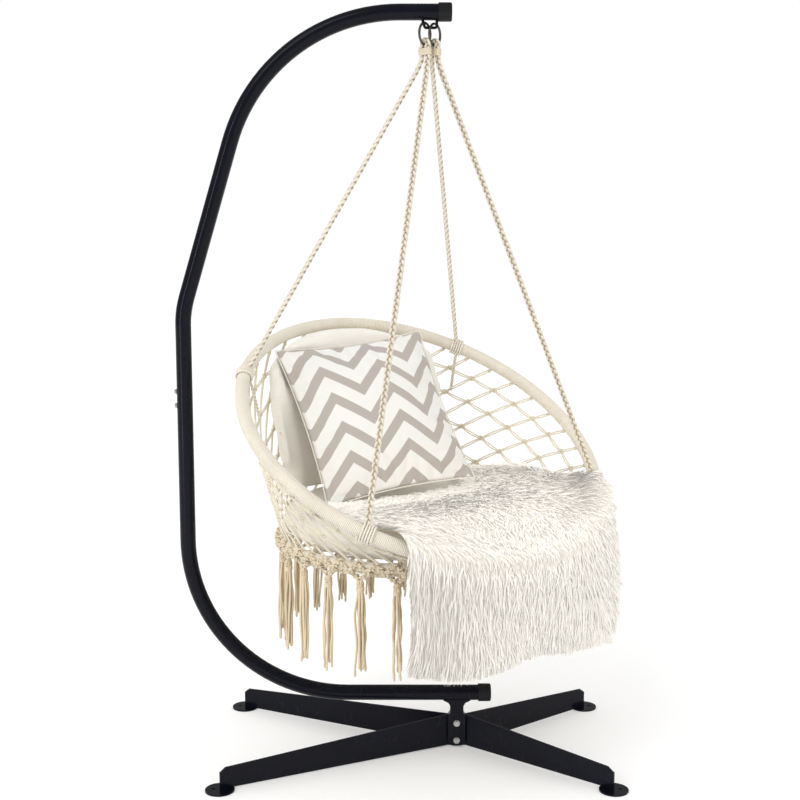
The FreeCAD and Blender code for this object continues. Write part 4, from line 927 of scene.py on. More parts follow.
@dataclass
class Plait:
    """A three-strand plait laid along a line.

    Its strands carry painted shade up to a share of its half width and it fades out over another.
    """

    width: float = 0.0040
    depth: float = 0.0021
    strand: float = 0.0040
    period: float = 0.048
    steps: int = 14
    dark: float = 0.55
    fade: float = 0.36

    def lay(self, skin: Skin, line: np.ndarray, facing: np.ndarray, sides: int = 8) -> None:
        """Adds the strands to an empty skin.

        Args:
            skin: What they are added to.
            line: The middle of the plait.
            facing: The direction across the plait's flat width at its start.
            sides: Faces round each strand.
        """
        line = evenly(line, self.period / self.steps)
        side, other = side_frame(line, facing)
        run = run_along(line)
        paths = []
        for strand in range(3):
            phase = FULL_TURN * (run / self.period + strand / 3.0)
            paths.append(line + side * (self.width * np.sin(phase))[:, None]
                         + other * (self.depth * np.sin(2 * phase))[:, None])
        skin.tubes(np.stack(paths), self.strand, sides, taper=1.0)
        laid = np.concatenate(skin.points)
        # Painted shade on the strands where they lie near the plait's middle.
        nearest = np.concatenate([np.linalg.norm(part[:, None] - line[None, ::2], axis=-1).min(1)
                                  for part in np.array_split(laid, max(1, len(laid) // 400))])
        reach = self.width + self.strand
        skin.crease = [soft_step((nearest - self.dark * reach) / (self.fade * reach))]


@dataclass
class SuspensionRope:
    """One rope doubled over a hanging ring, its two legs tied to the hoop."""

    side: Side
    length: float
    rope_radius: float = 0.007
    eye_radius: float = 0.0111
    eye_leg: float = 0.010
    straight: float = 0.030
    lashing_outer: float = 0.0242
    gap: float = 0.0003
    past_lashing: float = 0.006
    near_radii: int = 12
    facing: tuple[float, float, float] = (0.8, 0.6, 0.0)
    resolution: int = 24

    def leg_end(self, corner: np.ndarray, angle: float) -> np.ndarray:
        """Where a leg meets its lashing on the hoop.

        Args:
            corner: The leg's corner below its whipping.
            angle: The lashing's place on the hoop.

        Returns:
            The end of the leg.
        """
        anchor = AXES.hoop_point(angle)
        heading = unit(corner - anchor)
        cosine = float(heading @ AXES.hoop_tangent(angle))
        clear = self.lashing_outer + self.gap + self.rope_radius * abs(cosine)
        return anchor + heading * (clear / math.sqrt(1 - cosine ** 2) - self.past_lashing)

    def build(self) -> None:
        """Makes the rope."""
        sign, word = self.side.value, self.side.word
        across, height, reach = AXES.ring_side * sign, AXES.swing_height, self.eye_radius
        low = height - self.eye_leg
        route: list[np.ndarray] = []
        for leg, rope_angle in ((1, AXES.front_rope), (-1, AXES.back_rope)):
            corner = np.array([reach * leg, across, low - self.straight])
            end = self.leg_end(corner, sign * rope_angle + AXES.rope_turn)
            near = corner + unit(end - corner) * self.near_radii * self.rope_radius
            half = [end, near, corner, np.array([reach * leg, across, low]),
                    np.array([reach * leg, across, height + reach])]
            route += half if leg == 1 else half[::-1]
        line = route_line(route, self.resolution)
        skin = Skin()
        Plait().lay(skin, line, np.array(self.facing))
        rope = skin.build(word + "_rope", ROPE.material(), Slot.ROPE, "front_%s_rope" % word,
                          "back_%s_rope" % word, "%s_rope_eye" % word)
        placed = AXES.world(line)


@dataclass
class RopeTail:
    """A short end of rope that hangs from a back lashing along the net."""

    side: Side
    length: float = 0.090
    radius: float = 0.005
    top: float = 0.0265
    off_wall: float = 0.0109
    stops: tuple[float, ...] = (0.0, 0.35, 0.7, 1.0)
    resolution: int = 12
    threads: int = 14
    thread: float = 0.0007
    frayed: float = 0.009

    def build(self) -> None:
        """Makes the tail with its frayed end."""
        word = self.side.word
        angle = self.side.value * AXES.back_rope + AXES.rope_turn
        tangent, outward = AXES.hoop_tangent(angle), AXES.wall_outward(angle, 0.03)
        start = AXES.wall_point(angle, self.top) - outward * self.off_wall
        down = unit(AXES.seat_point(angle) - AXES.hoop_point(angle))
        line = route_line([start + down * (self.length * share) for share in self.stops],
                          self.resolution)
        skin = Skin()
        Plait(width=0.0023, depth=0.0015, strand=0.0026, period=0.030).lay(skin, line, tangent, 7)
        random = np.random.default_rng(SEED + (self.side is Side.LEFT))
        steps = np.linspace(0, 1, 6)[:, None]
        frayed = []
        for turn in turns_of(self.threads):
            away = tangent * math.cos(turn) + outward * math.sin(turn)
            frayed.append(line[-1] - down * 0.004 + away * (0.0022 + 0.002 * steps ** 2)
                          + down * steps * random.uniform(0.010, 0.015))
        skin.tubes(np.array(frayed), self.thread, 5, taper=0.5)
        tail = skin.build(word + "_tail", ROPE.material(), Slot.ROPE, word + "_rope_tail")
        placed = AXES.world(np.vstack([line, line[-1:] + down * self.frayed]))


@dataclass
class Whipping:
    """Turns of cord that bind the two legs of a rope below its eye."""

    side: Side
    cord: float = 0.0019
    turns: int = 5
    steps: int = 36
    top: float = 1.7942
    height: float = 0.020
    half_width: float = 0.0111
    reach: float = 0.0079

    def build(self) -> None:
        """Makes the binding."""
        word, across = self.side.word, AXES.ring_side * self.side.value
        steps = np.linspace(0, self.turns, self.turns * self.steps + 1)
        straight, bend = 2 * self.half_width, math.pi * self.reach
        run = (steps % 1.0) * 2 * (straight + bend)
        x, y = np.zeros_like(run), np.zeros_like(run)
        first, second, third = run < straight, run < straight + bend, run < 2 * straight + bend
        x[first], y[first] = run[first] - self.half_width, -self.reach
        pick = second & ~first
        turn = (run[pick] - straight) / self.reach
        x[pick] = self.half_width + self.reach * np.sin(turn)
        y[pick] = -self.reach * np.cos(turn)
        pick = third & ~second
        x[pick], y[pick] = self.half_width - (run[pick] - straight - bend), self.reach
        pick = ~third
        turn = (run[pick] - 2 * straight - bend) / self.reach
        x[pick] = -self.half_width - self.reach * np.sin(turn)
        y[pick] = self.reach * np.cos(turn)
        low = self.top - self.height + self.cord
        z = low + (self.height - 2 * self.cord) * steps / self.turns
        path = np.stack([x, y + across, z], axis=1)
        skin = Skin()
        skin.tubes(path[None], self.cord, 7, taper=1.0)
        skin.build(word + "_binding", KNOTTED.material(), Slot.ROPE, word + "_whipping")


@dataclass
class Lashing:
    """Turns of twisted cord that tie a rope's end to the hoop."""

    name: str
    angle: float
    radius: float = 0.0211
    pitch: float = 0.0066
    turns: int = 5
    steps: int = 44
    strand: float = 0.00165
    offset: float = 0.00140
    lay_length: float = 0.013

    def helix(self) -> np.ndarray:
        """The line of the winding round the hoop."""
        axis, outward = AXES.hoop_tangent(self.angle), AXES.spoke(self.angle)
        turn = np.linspace(0, self.turns, self.turns * self.steps + 1)
        angle = FULL_TURN * turn
        return (AXES.hoop_point(self.angle)
                + axis * (self.pitch * (turn - self.turns / 2))[:, None]
                + outward * (self.radius * np.cos(angle))[:, None]
                + np.cross(axis, outward) * (self.radius * np.sin(angle))[:, None])

    def build(self) -> None:
        """Makes the lashing of two strands twisted about its line."""
        line = self.helix()
        side, other = side_frame(line, unit(np.array(ASKEW)))
        turn = FULL_TURN * run_along(line) / self.lay_length
        paths = [line + side * (self.offset * np.cos(turn + half))[:, None]
                 + other * (self.offset * np.sin(turn + half))[:, None]
                 for half in (0.0, math.pi)]
        skin = Skin()
        skin.tubes(np.stack(paths), self.strand, 7, taper=1.0)
        skin.build(self.name + "_tie", WRAP.material(), Slot.ROPE,
                   self.name + "_lashing")


@dataclass
class WoundRing:
    """Cord wound tightly round a steel ring, as one thread that climbs turn by turn."""

    name: str
    node: str
    ring: float
    wrap: float
    tilted: bool
    pitch: float = 0.0043
    depth: float = 0.0016
    uneven: float = 0.00015
    inset: float = 0.0002
    samples: int = 4
    sides: int = 14

    def build(self) -> None:
        """Makes the winding."""
        turns = int(round(FULL_TURN * self.ring / self.pitch))
        rows = turns * self.samples
        j = np.arange(self.sides)
        i = np.arange(rows)[:, None]
        position = (i + self.samples * j[None, :] / self.sides) / rows
        around = FULL_TURN * position
        section = FULL_TURN * j[None, :] / self.sides + 0 * around
        ridge = np.abs(np.sin(math.pi * (i % self.samples) / self.samples)) ** 0.6 + 0 * around
        uneven = self.uneven * ripples(position * 3, section / 6.28, 40, low=6, high=30)
        radius = self.wrap - self.depth * (1 - ridge) + uneven - self.inset
        spoke = AXES.spoke(np.degrees(around)) if self.tilted else np.stack(
            [np.cos(around), np.sin(around), 0 * around], axis=-1)
        up = np.cross(AXES.forward, [0.0, 1.0, 0.0]) if self.tilted else np.array([0, 0, 1.0])
        middle = AXES.hoop_centre if self.tilted else AXES.seat_centre
        points = (middle + spoke * (self.ring + radius * np.cos(section))[..., None]
                  + up * (radius * np.sin(section))[..., None])
        length = FULL_TURN * self.wrap
        rows_uv = np.arange(rows + 1)[:, None] / self.samples
        uv = np.stack(np.broadcast_arrays(
            (np.arange(self.sides + 1)[None, :] / self.sides + np.floor(rows_uv)) * length,
            rows_uv % 1.0 + 0 * rows_uv), axis=-1)
        skin = Skin()
        # The groove values paint shade in the hollows between the turns.
        skin.grid(points[:, ::-1], uv, 0.25 + 0.75 * ridge[:, ::-1], around=True, along=True,
                  shift=-self.samples)
        skin.build(self.name, WRAP.material(), Slot.CORD, self.node)


@dataclass
class SideNet:
    """The bucket's wall: slanting doubled cords knotted across rows that follow the hoop."""

    columns: int = 40
    lean: float = 132.1
    row_depths: tuple[float, ...] = (0.066, 0.135, 0.209, 0.279, 0.349, 0.419)
    cord: float = 0.0019
    apart: float = 0.0018
    bow: float = 0.0012
    top: float = 0.0165
    bottom: float = 0.0105
    knot_size: float = 0.0080
    knot_depth: float = 0.0023
    knot_cord: float = 0.00175
    top_knot: tuple[float, float] = (0.0225, 0.0048)
    clear: float = 0.022
    sag: float = 0.004
    first: float = 1.5
    panels: tuple[str, ...] = (
        "front_left_net", "left_front_net", "left_back_net", "back_left_net",
        "back_right_net", "right_back_net", "right_front_net", "front_right_net")

    def slanted(self, start: float, depths: np.ndarray) -> np.ndarray:
        """Angles of a slanting cord at distances below the hoop."""
        return start + self.lean * depths

    def foot(self, start: float) -> float:
        """How far below the hoop a slanting cord reaches the seat ring."""
        depths = np.linspace(0.03, 0.53, 400)
        left = AXES.wall_length(self.slanted(start, depths)) - depths - self.bottom
        return float(depths[np.argmax(left < 0)])

    def doubled(self, skin: Skin, angles: np.ndarray, depths: np.ndarray,
                knots: np.ndarray) -> None:
        """Adds two cords side by side that bow apart between their knots.

        Args:
            skin: What they are added to.
            angles: Places round the hoop.
            depths: Places below the hoop.
            knots: For each point, 0 at a knot to 1 halfway between two.
        """
        middle = AXES.wall_point(angles, depths)
        outward = AXES.wall_outward(angles, depths)
        across = unit(np.cross(outward, np.gradient(middle, axis=0)))
        spread = (self.apart + self.bow * knots ** 2)[:, None]
        # The cords take painted shade near their knots.
        twin_cords(skin, middle, across * spread, self.cord, 0.35 + 0.65 * soft_step(knots * 2.2))

    def knot(self, skin: Skin, angle: float, depth: float, size: float, seed: int) -> None:
        """Adds a tied knot that stands a little proud on both faces of the net.

        Args:
            skin: What it is added to.
            angle: Its place round the hoop.
            depth: Its place below the hoop.
            size: Half its width.
            seed: Which turn it is tied with.
        """
        outward = AXES.wall_outward(angle, depth)
        down = unit(AXES.seat_point(angle) - AXES.hoop_point(angle))
        tied_knot(skin, AXES.wall_point(angle, depth), (np.cross(down, outward), down, outward),
                  (size, 0.9 * size, self.knot_depth), self.knot_cord, 0.45, seed)

    def segments(self, depths: np.ndarray, marks: list[float]) -> np.ndarray:
        """How far each depth is from its nearest knot, 0 to 1."""
        marks = np.array(sorted(marks))
        place = np.clip(np.searchsorted(marks, depths), 1, len(marks) - 1)
        low, high = marks[place - 1], marks[place]
        return np.sin(math.pi * np.clip((depths - low) / (high - low), 0, 1))

    def build_panel(self, number: int, finish: bpy.types.Material) -> None:
        """Makes one panel.

        Args:
            number: Its place, from the front to the left.
            finish: Its material.
        """
        skin = Skin()
        each, pitch = self.columns // len(self.panels), 360.0 / self.columns
        for column in range(number * each, (number + 1) * each):
            start = column * 360.0 / self.columns + self.first
            foot, next_foot = self.foot(start), self.foot(start + pitch)
            rows = [d for d in self.row_depths if d < foot - self.clear]
            depths = np.linspace(self.top, foot, max(6, int((foot - self.top) / 0.006)))
            knots = self.segments(depths, [self.top] + rows + [foot])
            self.doubled(skin, self.slanted(start, depths), depths, knots)
            for row, depth in enumerate(rows):
                low = self.slanted(start, np.array(depth))
                self.knot(skin, low, depth, self.knot_size, column * 10 + row)
                if depth < next_foot - self.clear:
                    share = np.linspace(0, 1, 13)
                    high = self.slanted(start + pitch, np.array(depth))
                    bow = np.sin(math.pi * share)
                    self.doubled(skin, low + (high - low) * share, depth + self.sag * bow, bow)
            depth, size = self.top_knot
            self.knot(skin, self.slanted(start, np.array(depth)), depth, size, column * 10 + 9)
        node = self.panels[number]
        skin.build(node.replace("_net", "_netting"), finish, Slot.CORD, node)

    def build(self) -> None:
        """Makes the eight panels."""
        finish = NET.material()
        for number in range(len(self.panels)):
            self.build_panel(number, finish)


@dataclass
class SeatNet:
    """Cords that cross under the seat cushion and are tied to the seat ring."""

    reach: float = 0.3385
    pitch: float = 0.048
    cord: float = 0.0022
    weave: float = 0.0010
    apart: float = 0.0022
    rim: float = 0.02
    hems: tuple[tuple[float, float], ...] = ((0.003, 0.0), (0.008, -0.001))

    def build(self) -> None:
        """Makes the net."""
        skin = Skin()
        lines = int(self.reach / (self.pitch / 2))
        middle = AXES.seat_centre
        for family in (0, 1):
            heading = level_ring(math.pi / 4 * (1 if family else -1))
            across = np.cross(UP, heading)
            for k in range(-lines, lines + 1):
                offset = (k + 0.5) * self.pitch
                if abs(offset) > self.reach - self.rim:
                    continue
                half = math.sqrt(self.reach ** 2 - offset ** 2)
                run = np.linspace(-half, half, max(8, int(half / 0.005)))
                over = self.weave * np.cos(math.pi * run / self.pitch + math.pi * (k + family))
                shade = (0.5 + 0.5 * np.abs(np.sin(math.pi * run / self.pitch)))[None]
                for side in (-1, 1):
                    path = (middle + heading * run[:, None]
                            + across * (offset + side * self.apart) + UP * over[:, None])
                    skin.tubes(path[None], self.cord, 6, crease=shade)
        for inset, height in self.hems:
            hem = middle + level_ring(turns_of(240), self.reach - inset, height)
            skin.tubes(hem[None], self.cord, 6, closed=True)
        skin.build("seat_netting", NET.material(), Slot.CORD, "seat_net")


@dataclass
class KnottedBorder:
    """Diamond knots hung from the seat ring, arched between the tassels."""

    tassels: int = 24
    ring_bottom: float = 0.5527
    low: float = 0.5307
    cord: float = 0.00175
    apart: float = 0.0018
    knot_depth: float = 0.0045
    knot_cord: float = 0.0024
    hem_cord: float = 0.0023
    cover_out: float = 0.0138
    cover_high: float = 0.5735
    cover_low: float = 0.5555
    cover_apart: float = 0.0019

    def strand(self, skin: Skin, stops: list[tuple[float, float, float]], apart: float) -> None:
        """Adds doubled cords through places on the band.

        Args:
            skin: What they are added to.
            stops: Angle, height and how far outwards of each place.
            apart: Half the distance between the two cords.
        """
        stops_array = np.array(stops)
        share = np.linspace(0, len(stops) - 1, 6 * (len(stops) - 1) + 1)
        knots = np.arange(len(stops))
        angle, height, out = (np.interp(share, knots, stops_array[:, k]) for k in range(3))
        bulge = 0.0014 * np.abs(np.sin(math.pi * share))
        turn = np.radians(angle)
        radius = AXES.seat_radius + out + bulge
        path = AXES.level_point(turn, radius, height)
        across = unit(np.cross(unit(np.gradient(path, axis=0)), level_ring(turn)))
        shade = 0.4 + 0.6 * np.abs(np.sin(math.pi * share))
        twin_cords(skin, path, across * apart, self.cord, shade)

    def knot(self, skin: Skin, angle: float, height: float, size: float, seed: int,
             out: float = 0.0) -> None:
        """Adds a tied knot to the band.

        Args:
            skin: What it is added to.
            angle: Its place round the ring.
            height: Its height.
            size: Half its width.
            seed: Which turn it is tied with.
            out: How far it stands out from the ring's radius.
        """
        turn = math.radians(angle)
        outward = level_ring(turn)
        tied_knot(skin, AXES.level_point(turn, AXES.seat_radius + out, height),
                  (np.cross(UP, outward), UP, outward), (size, 0.85 * size, self.knot_depth),
                  self.knot_cord, 0.3, 900 + seed)

    def build(self) -> None:
        """Makes the band."""
        skin = Skin()
        step = 360.0 / self.tassels
        top, low = self.ring_bottom + 0.004, self.low
        for number in range(self.tassels):
            at = number * step
            for side in (-1, 1):
                for out in (-0.0022, 0.0022):
                    self.strand(skin, [(at + side * 7.3, top, out), (at + side * 4.7, top - .010,
                                       out * 1.5), (at + side * 2.2, low + .010, out),
                                       (at + side * 0.6, low + .001, out)], self.apart)
                    self.strand(skin, [(at + side * 0.8, top, out), (at + side * 3.2, top - .008,
                                       -out), (at + side * 5.6, top - .012, out),
                                       (at + side * 7.5, top - .013, 0.0)], self.apart)
                self.knot(skin, at + side * 3.75, top - 0.0085, 0.0082, number * 9 + side)
                self.knot(skin, at + side * 1.7, low + 0.0075, 0.0066, number * 9 + 3 + side)
            self.knot(skin, at, top - 0.004, 0.0078, number * 9 + 5)
            self.knot(skin, at + step / 2, top - 0.0085, 0.0072, number * 9 + 6)
            self.knot(skin, at, low + 0.0015, 0.0082, number * 9 + 7)
        turn = turns_of(400)
        for lift, out in ((-0.002, -0.0028), (-0.002, 0.0028), (-0.0065, 0.0)):
            height = top + lift + 0.0006 * np.sin(turn * 48)
            hem = AXES.level_point(turn, AXES.seat_radius + out, height)
            skin.tubes(hem[None], self.hem_cord, 6, closed=True)
        skin.build("knotted_border", KNOTTED.material(), Slot.CORD, "scalloped_border")
        self.cover_ring()

    def cover_ring(self) -> None:
        """Makes the diamonds of knotted cord that hide the outside of the seat ring."""
        skin = Skin()
        step = 180.0 / self.tassels
        out, high, low = self.cover_out, self.cover_high, self.cover_low
        middle = 0.5 * (high + low)
        for number in range(2 * self.tassels):
            at = number * step
            for side in (-1, 1):
                for more in (0.0, 0.0025):
                    self.strand(skin, [(at, high, out - 0.004 + more),
                                       (at + side * step / 4, middle, out + more),
                                       (at + side * step / 2, low, out + more),
                                       (at + side * step * 0.75, low - 0.007, 0.010)],
                                self.cover_apart)
            self.knot(skin, at, high - 0.001, 0.0092, 700 + number, out - 0.002)
            self.knot(skin, at + step / 2, low, 0.0096, 800 + number, out)
            self.knot(skin, at + step / 4, middle, 0.0070, 1000 + number, out + 0.001)
            self.knot(skin, at - step / 4, middle, 0.0070, 1100 + number, out + 0.001)
        skin.build("seat_ring_knots", KNOTTED.material(), Slot.CORD,
                   "seat_ring_wrapping")


@dataclass
class Fringe:
    """Tassels of cord ends, gathered by a few turns below each point of the border."""

    tassels: int = 24
    top: float = 0.5304
    length: float = 0.240
    strands: int = 9
    outer: int = 7
    strand: float = 0.0031
    knot: float = 0.0102
    neck: float = 0.0058
    hem: float = 0.0112
    loops: int = 5
    loop: float = 0.0026
    wind: float = 0.0020

    def build(self) -> None:
        """Makes the fringe."""
        random = np.random.default_rng(SEED + 5)
        skin = Skin()
        steps = np.linspace(0, 1, 34)
        for number in range(self.tassels):
            turn = FULL_TURN * number / self.tassels
            spot = AXES.level_point(turn, AXES.seat_radius, self.top)
            sway = level_ring(turn) * random.uniform(-0.003, 0.004)
            paths, shades = [], []
            for k in range(self.strands):
                inner = k >= self.outer
                ring = random.uniform(0.1, 0.5) if inner else random.uniform(0.8, 1.0)
                at = FULL_TURN * k / self.outer + random.uniform(-0.25, 0.25)
                down = self.length * random.uniform(0.86, 1.0) - self.knot
                drop = self.knot * 0.9 + down * steps
                spread = self.neck + (self.hem - self.neck) * soft_step(drop / 0.09)
                wave = random.uniform(0.0010, 0.0026) * np.sin(
                    steps * random.uniform(7, 17) + random.uniform(0, 6))
                angle = at + 1.1 * steps * random.uniform(-1, 1)
                paths.append(spot - UP * drop[:, None] + sway * steps[:, None]
                             + level_ring(angle, spread * ring + wave))
                shades.append(np.full(len(steps), 0.3 if inner else random.uniform(0.55, 1)))
            tip_knot = 0.3 * np.exp(-((steps - 0.965) / 0.02) ** 2)
            thick = self.strand * (1 - 0.2 * steps ** 3 + tip_knot)
            skin.tubes(np.array(paths), np.broadcast_to(thick, (self.strands, len(steps))), 6,
                       crease=np.array(shades), taper=0.6)
            self.gather(skin, spot, number)
        skin.build("cord_fringe", FRINGE.material(), Slot.CORD, "fringe_tassels")

    def gather(self, skin: Skin, spot: np.ndarray, number: int) -> None:
        """Adds the knot at a tassel's head: loops over it and turns round its neck.

        Args:
            skin: What it is added to.
            spot: The top of the tassel.
            number: Which tassel it is.
        """
        random = np.random.default_rng(SEED + 300 + number)
        centre, reach = spot - UP * self.knot, self.knot - self.loop
        t = turns_of(26)
        loops = []
        for k in range(self.loops):
            side = level_ring(math.pi * k / self.loops + random.uniform(0, 0.4))
            loops.append(centre + side * reach * np.cos(t)[:, None]
                         + UP * reach * np.sin(t)[:, None])
        shade = np.tile(0.4 + 0.6 * np.abs(np.sin(t)), (self.loops, 1))
        skin.tubes(np.array(loops), self.loop, 6, closed=True, crease=shade)
        turns = np.linspace(0, 3, 3 * 20 + 1)
        wound = (spot - UP * (self.knot * 1.75 + 0.0036 * turns)[:, None]
                 + level_ring(FULL_TURN * turns, self.neck + 0.0028))
        skin.tubes(wound[None], self.wind, 6, taper=0.8)


@dataclass
class SeatPad:
    """The round seat cushion: a crowned pad with a welt round its widest line."""

    base: float = 0.5678
    rise: float = 0.090
    dish: float = 0.018
    foot: float = 0.300
    edge: float = 0.344
    rim: float = 0.295
    flat_rim: float = 0.03
    pucker: float = 0.0022
    dent: float = 0.0035
    welt: float = 0.0030
    slices: int = 160

    def outline(self) -> np.ndarray:
        """Radius and height of the pad's outline, from the middle of its base to its top."""
        base, rise = self.base, self.rise
        turned = self.foot - self.flat_rim
        low = [(r, base) for r in np.linspace(0.0, turned, 12)]
        bend = np.linspace(0, 1, 12)
        under = [(turned + (self.edge - turned) * math.sin(b * math.pi / 2),
                  base + 0.5 * rise * (1 - math.cos(b * math.pi / 2))) for b in bend[1:]]
        over = [(self.rim + (self.edge - self.rim) * math.cos(b * math.pi / 2),
                 base + 0.5 * rise + 0.5 * rise * math.sin(b * math.pi / 2)) for b in bend[1:]]
        top = [(self.rim * (1 - b), base + rise - self.dish * (1 - (1 - b) ** 2))
               for b in np.linspace(0, 1, 26)[1:-1]] + [(0.002, base + rise - self.dish)]
        return np.array(low[1:] + under + over + top)

    def build(self) -> None:
        """Makes the cushion."""
        outline = self.outline()
        outline = np.vstack([[0.002, self.base], outline])
        turn = turns_of(self.slices)[None, :]
        radius, height = outline[:, :1], outline[:, 1:]
        around = turn / (FULL_TURN)
        side = np.exp(-((height - self.base - 0.5 * self.rise) / 0.045) ** 2)
        puckers = self.pucker * ripples(around * 6, height * 8, 60, 11, 2, 9) * side
        drape = self.dent * ripples(radius * np.cos(turn) * 1.6, radius * np.sin(turn) * 1.6, 61,
                                    10, 0.8, 3.0) * (height > self.base + 0.5 * self.rise)
        radius = radius - np.abs(puckers) * (radius > 0.2)
        height = height - np.abs(drape) - 0.0006 + 0.0006 * (height <= self.base)
        points = AXES.level_point(turn, radius, height)
        uv = np.stack(np.broadcast_arrays(
            np.linspace(0, 1, self.slices + 1)[None, :],
            np.linspace(0, 1, len(outline))[:, None]), axis=-1)
        skin = Skin()
        skin.grid(points, uv, around=True)
        welt = AXES.level_point(turn[0], self.edge * 0.999, self.base + 0.5 * self.rise)
        skin.tubes(welt[None], self.welt, 7, closed=True,
                   crease=np.full((1, self.slices), 0.75))
        pad = skin.build("seat_pad", PlainCover().material(), Slot.CUSHION, "seat_cushion")


@dataclass
class BackPad:
    """The curved back cushion that stands inside the back of the net."""

    half_angle: float = 41.5
    thickness: float = 0.070
    end_thickness: float = 0.044
    gap: float = 0.0065
    rim: float = 0.6578
    square_sides: float = 0.55
    square_ends: float = 0.42
    belly: float = 0.008
    wrinkle: float = 0.0026
    caps: tuple[float, ...] = (1.0, 0.8, 0.45, 0.15)
    slices: int = 72
    around: int = 40

    def section(self, angle: float, share: float) -> np.ndarray:
        """A rounded section of the pad on a spoke of the chair.

        Args:
            angle: The spoke.
            share: 0 at the middle of the pad to 1 at its ends.

        Returns:
            The points of the section.
        """
        full = self.thickness + (self.end_thickness - self.thickness) * share ** 3
        low = self.rim + 0.0003 + 0.013 * share ** 3
        high = float(AXES.hoop_point(angle)[2]) - 0.008 - 0.042 * share ** 3
        t = turns_of(self.around)
        half, middle = (full + 0.004 - self.gap) / 2, (full + 0.004 + self.gap) / 2
        inward = middle + half * np.sign(np.cos(t)) * np.abs(np.cos(t)) ** self.square_sides
        crown = 0.5 * (high - low)
        height = 0.5 * (high + low) + crown * np.sign(np.sin(t)) * np.abs(
            np.sin(t)) ** self.square_ends
        level = np.clip((height - low) / (high - low), 0, 1)
        belly = self.belly * np.sin(math.pi * level)
        inward = inward + belly * (np.cos(t) > 0.2)
        top, bottom = AXES.hoop_point(angle), AXES.seat_point(angle)
        spoke = unit(bottom - AXES.seat_centre)
        on_wall = bottom + (top - bottom) * ((height - bottom[2]) / (top[2] - bottom[2]))[:, None]
        return on_wall - spoke * inward[:, None]

    def build(self) -> None:
        """Makes the cushion, pressed in where the pillow leans on it."""
        shares = np.linspace(-1, 1, self.slices)
        rings = np.array([self.section(180 + s * self.half_angle, abs(s)) for s in shares])
        draw = 1 - 0.42 * soft_step((np.abs(shares) - 0.86) / 0.14)
        centre = rings.mean(1, keepdims=True)
        rings = centre + (rings - centre) * draw[:, None, None]
        for end in (0, -1):
            middle = rings[end].mean(0)
            caps = [rings[end] + (middle - rings[end]) * share for share in self.caps]
            block = np.array(caps if end == 0 else caps[::-1])
            rings = np.concatenate([block, rings] if end == 0 else [rings, block])
        rows = len(rings)
        middle = rings.mean(1, keepdims=True)
        u = np.linspace(0, 1, rows)[:, None]
        v = np.linspace(0, 1, self.around, endpoint=False)[None, :]
        wrinkle = self.wrinkle * np.abs(ripples(u * 1.1, np.sin(FULL_TURN * v) * 0.3, 71, 7,
                                                0.8, 2.6))
        rings = rings + unit(middle - rings) * (wrinkle + 0.0006)[..., None]
        rings = ThrowPillow().keep_clear(rings, 0.0035)
        uv = np.stack(np.broadcast_arrays(u, np.linspace(0, 1, self.around + 1)[None, :]),
                      axis=-1)
        skin = Skin()
        skin.grid(rings[:, ::-1], uv, around=True)
        pad = skin.build("back_pad", PlainCover().material(), Slot.CUSHION, "back_cushion")


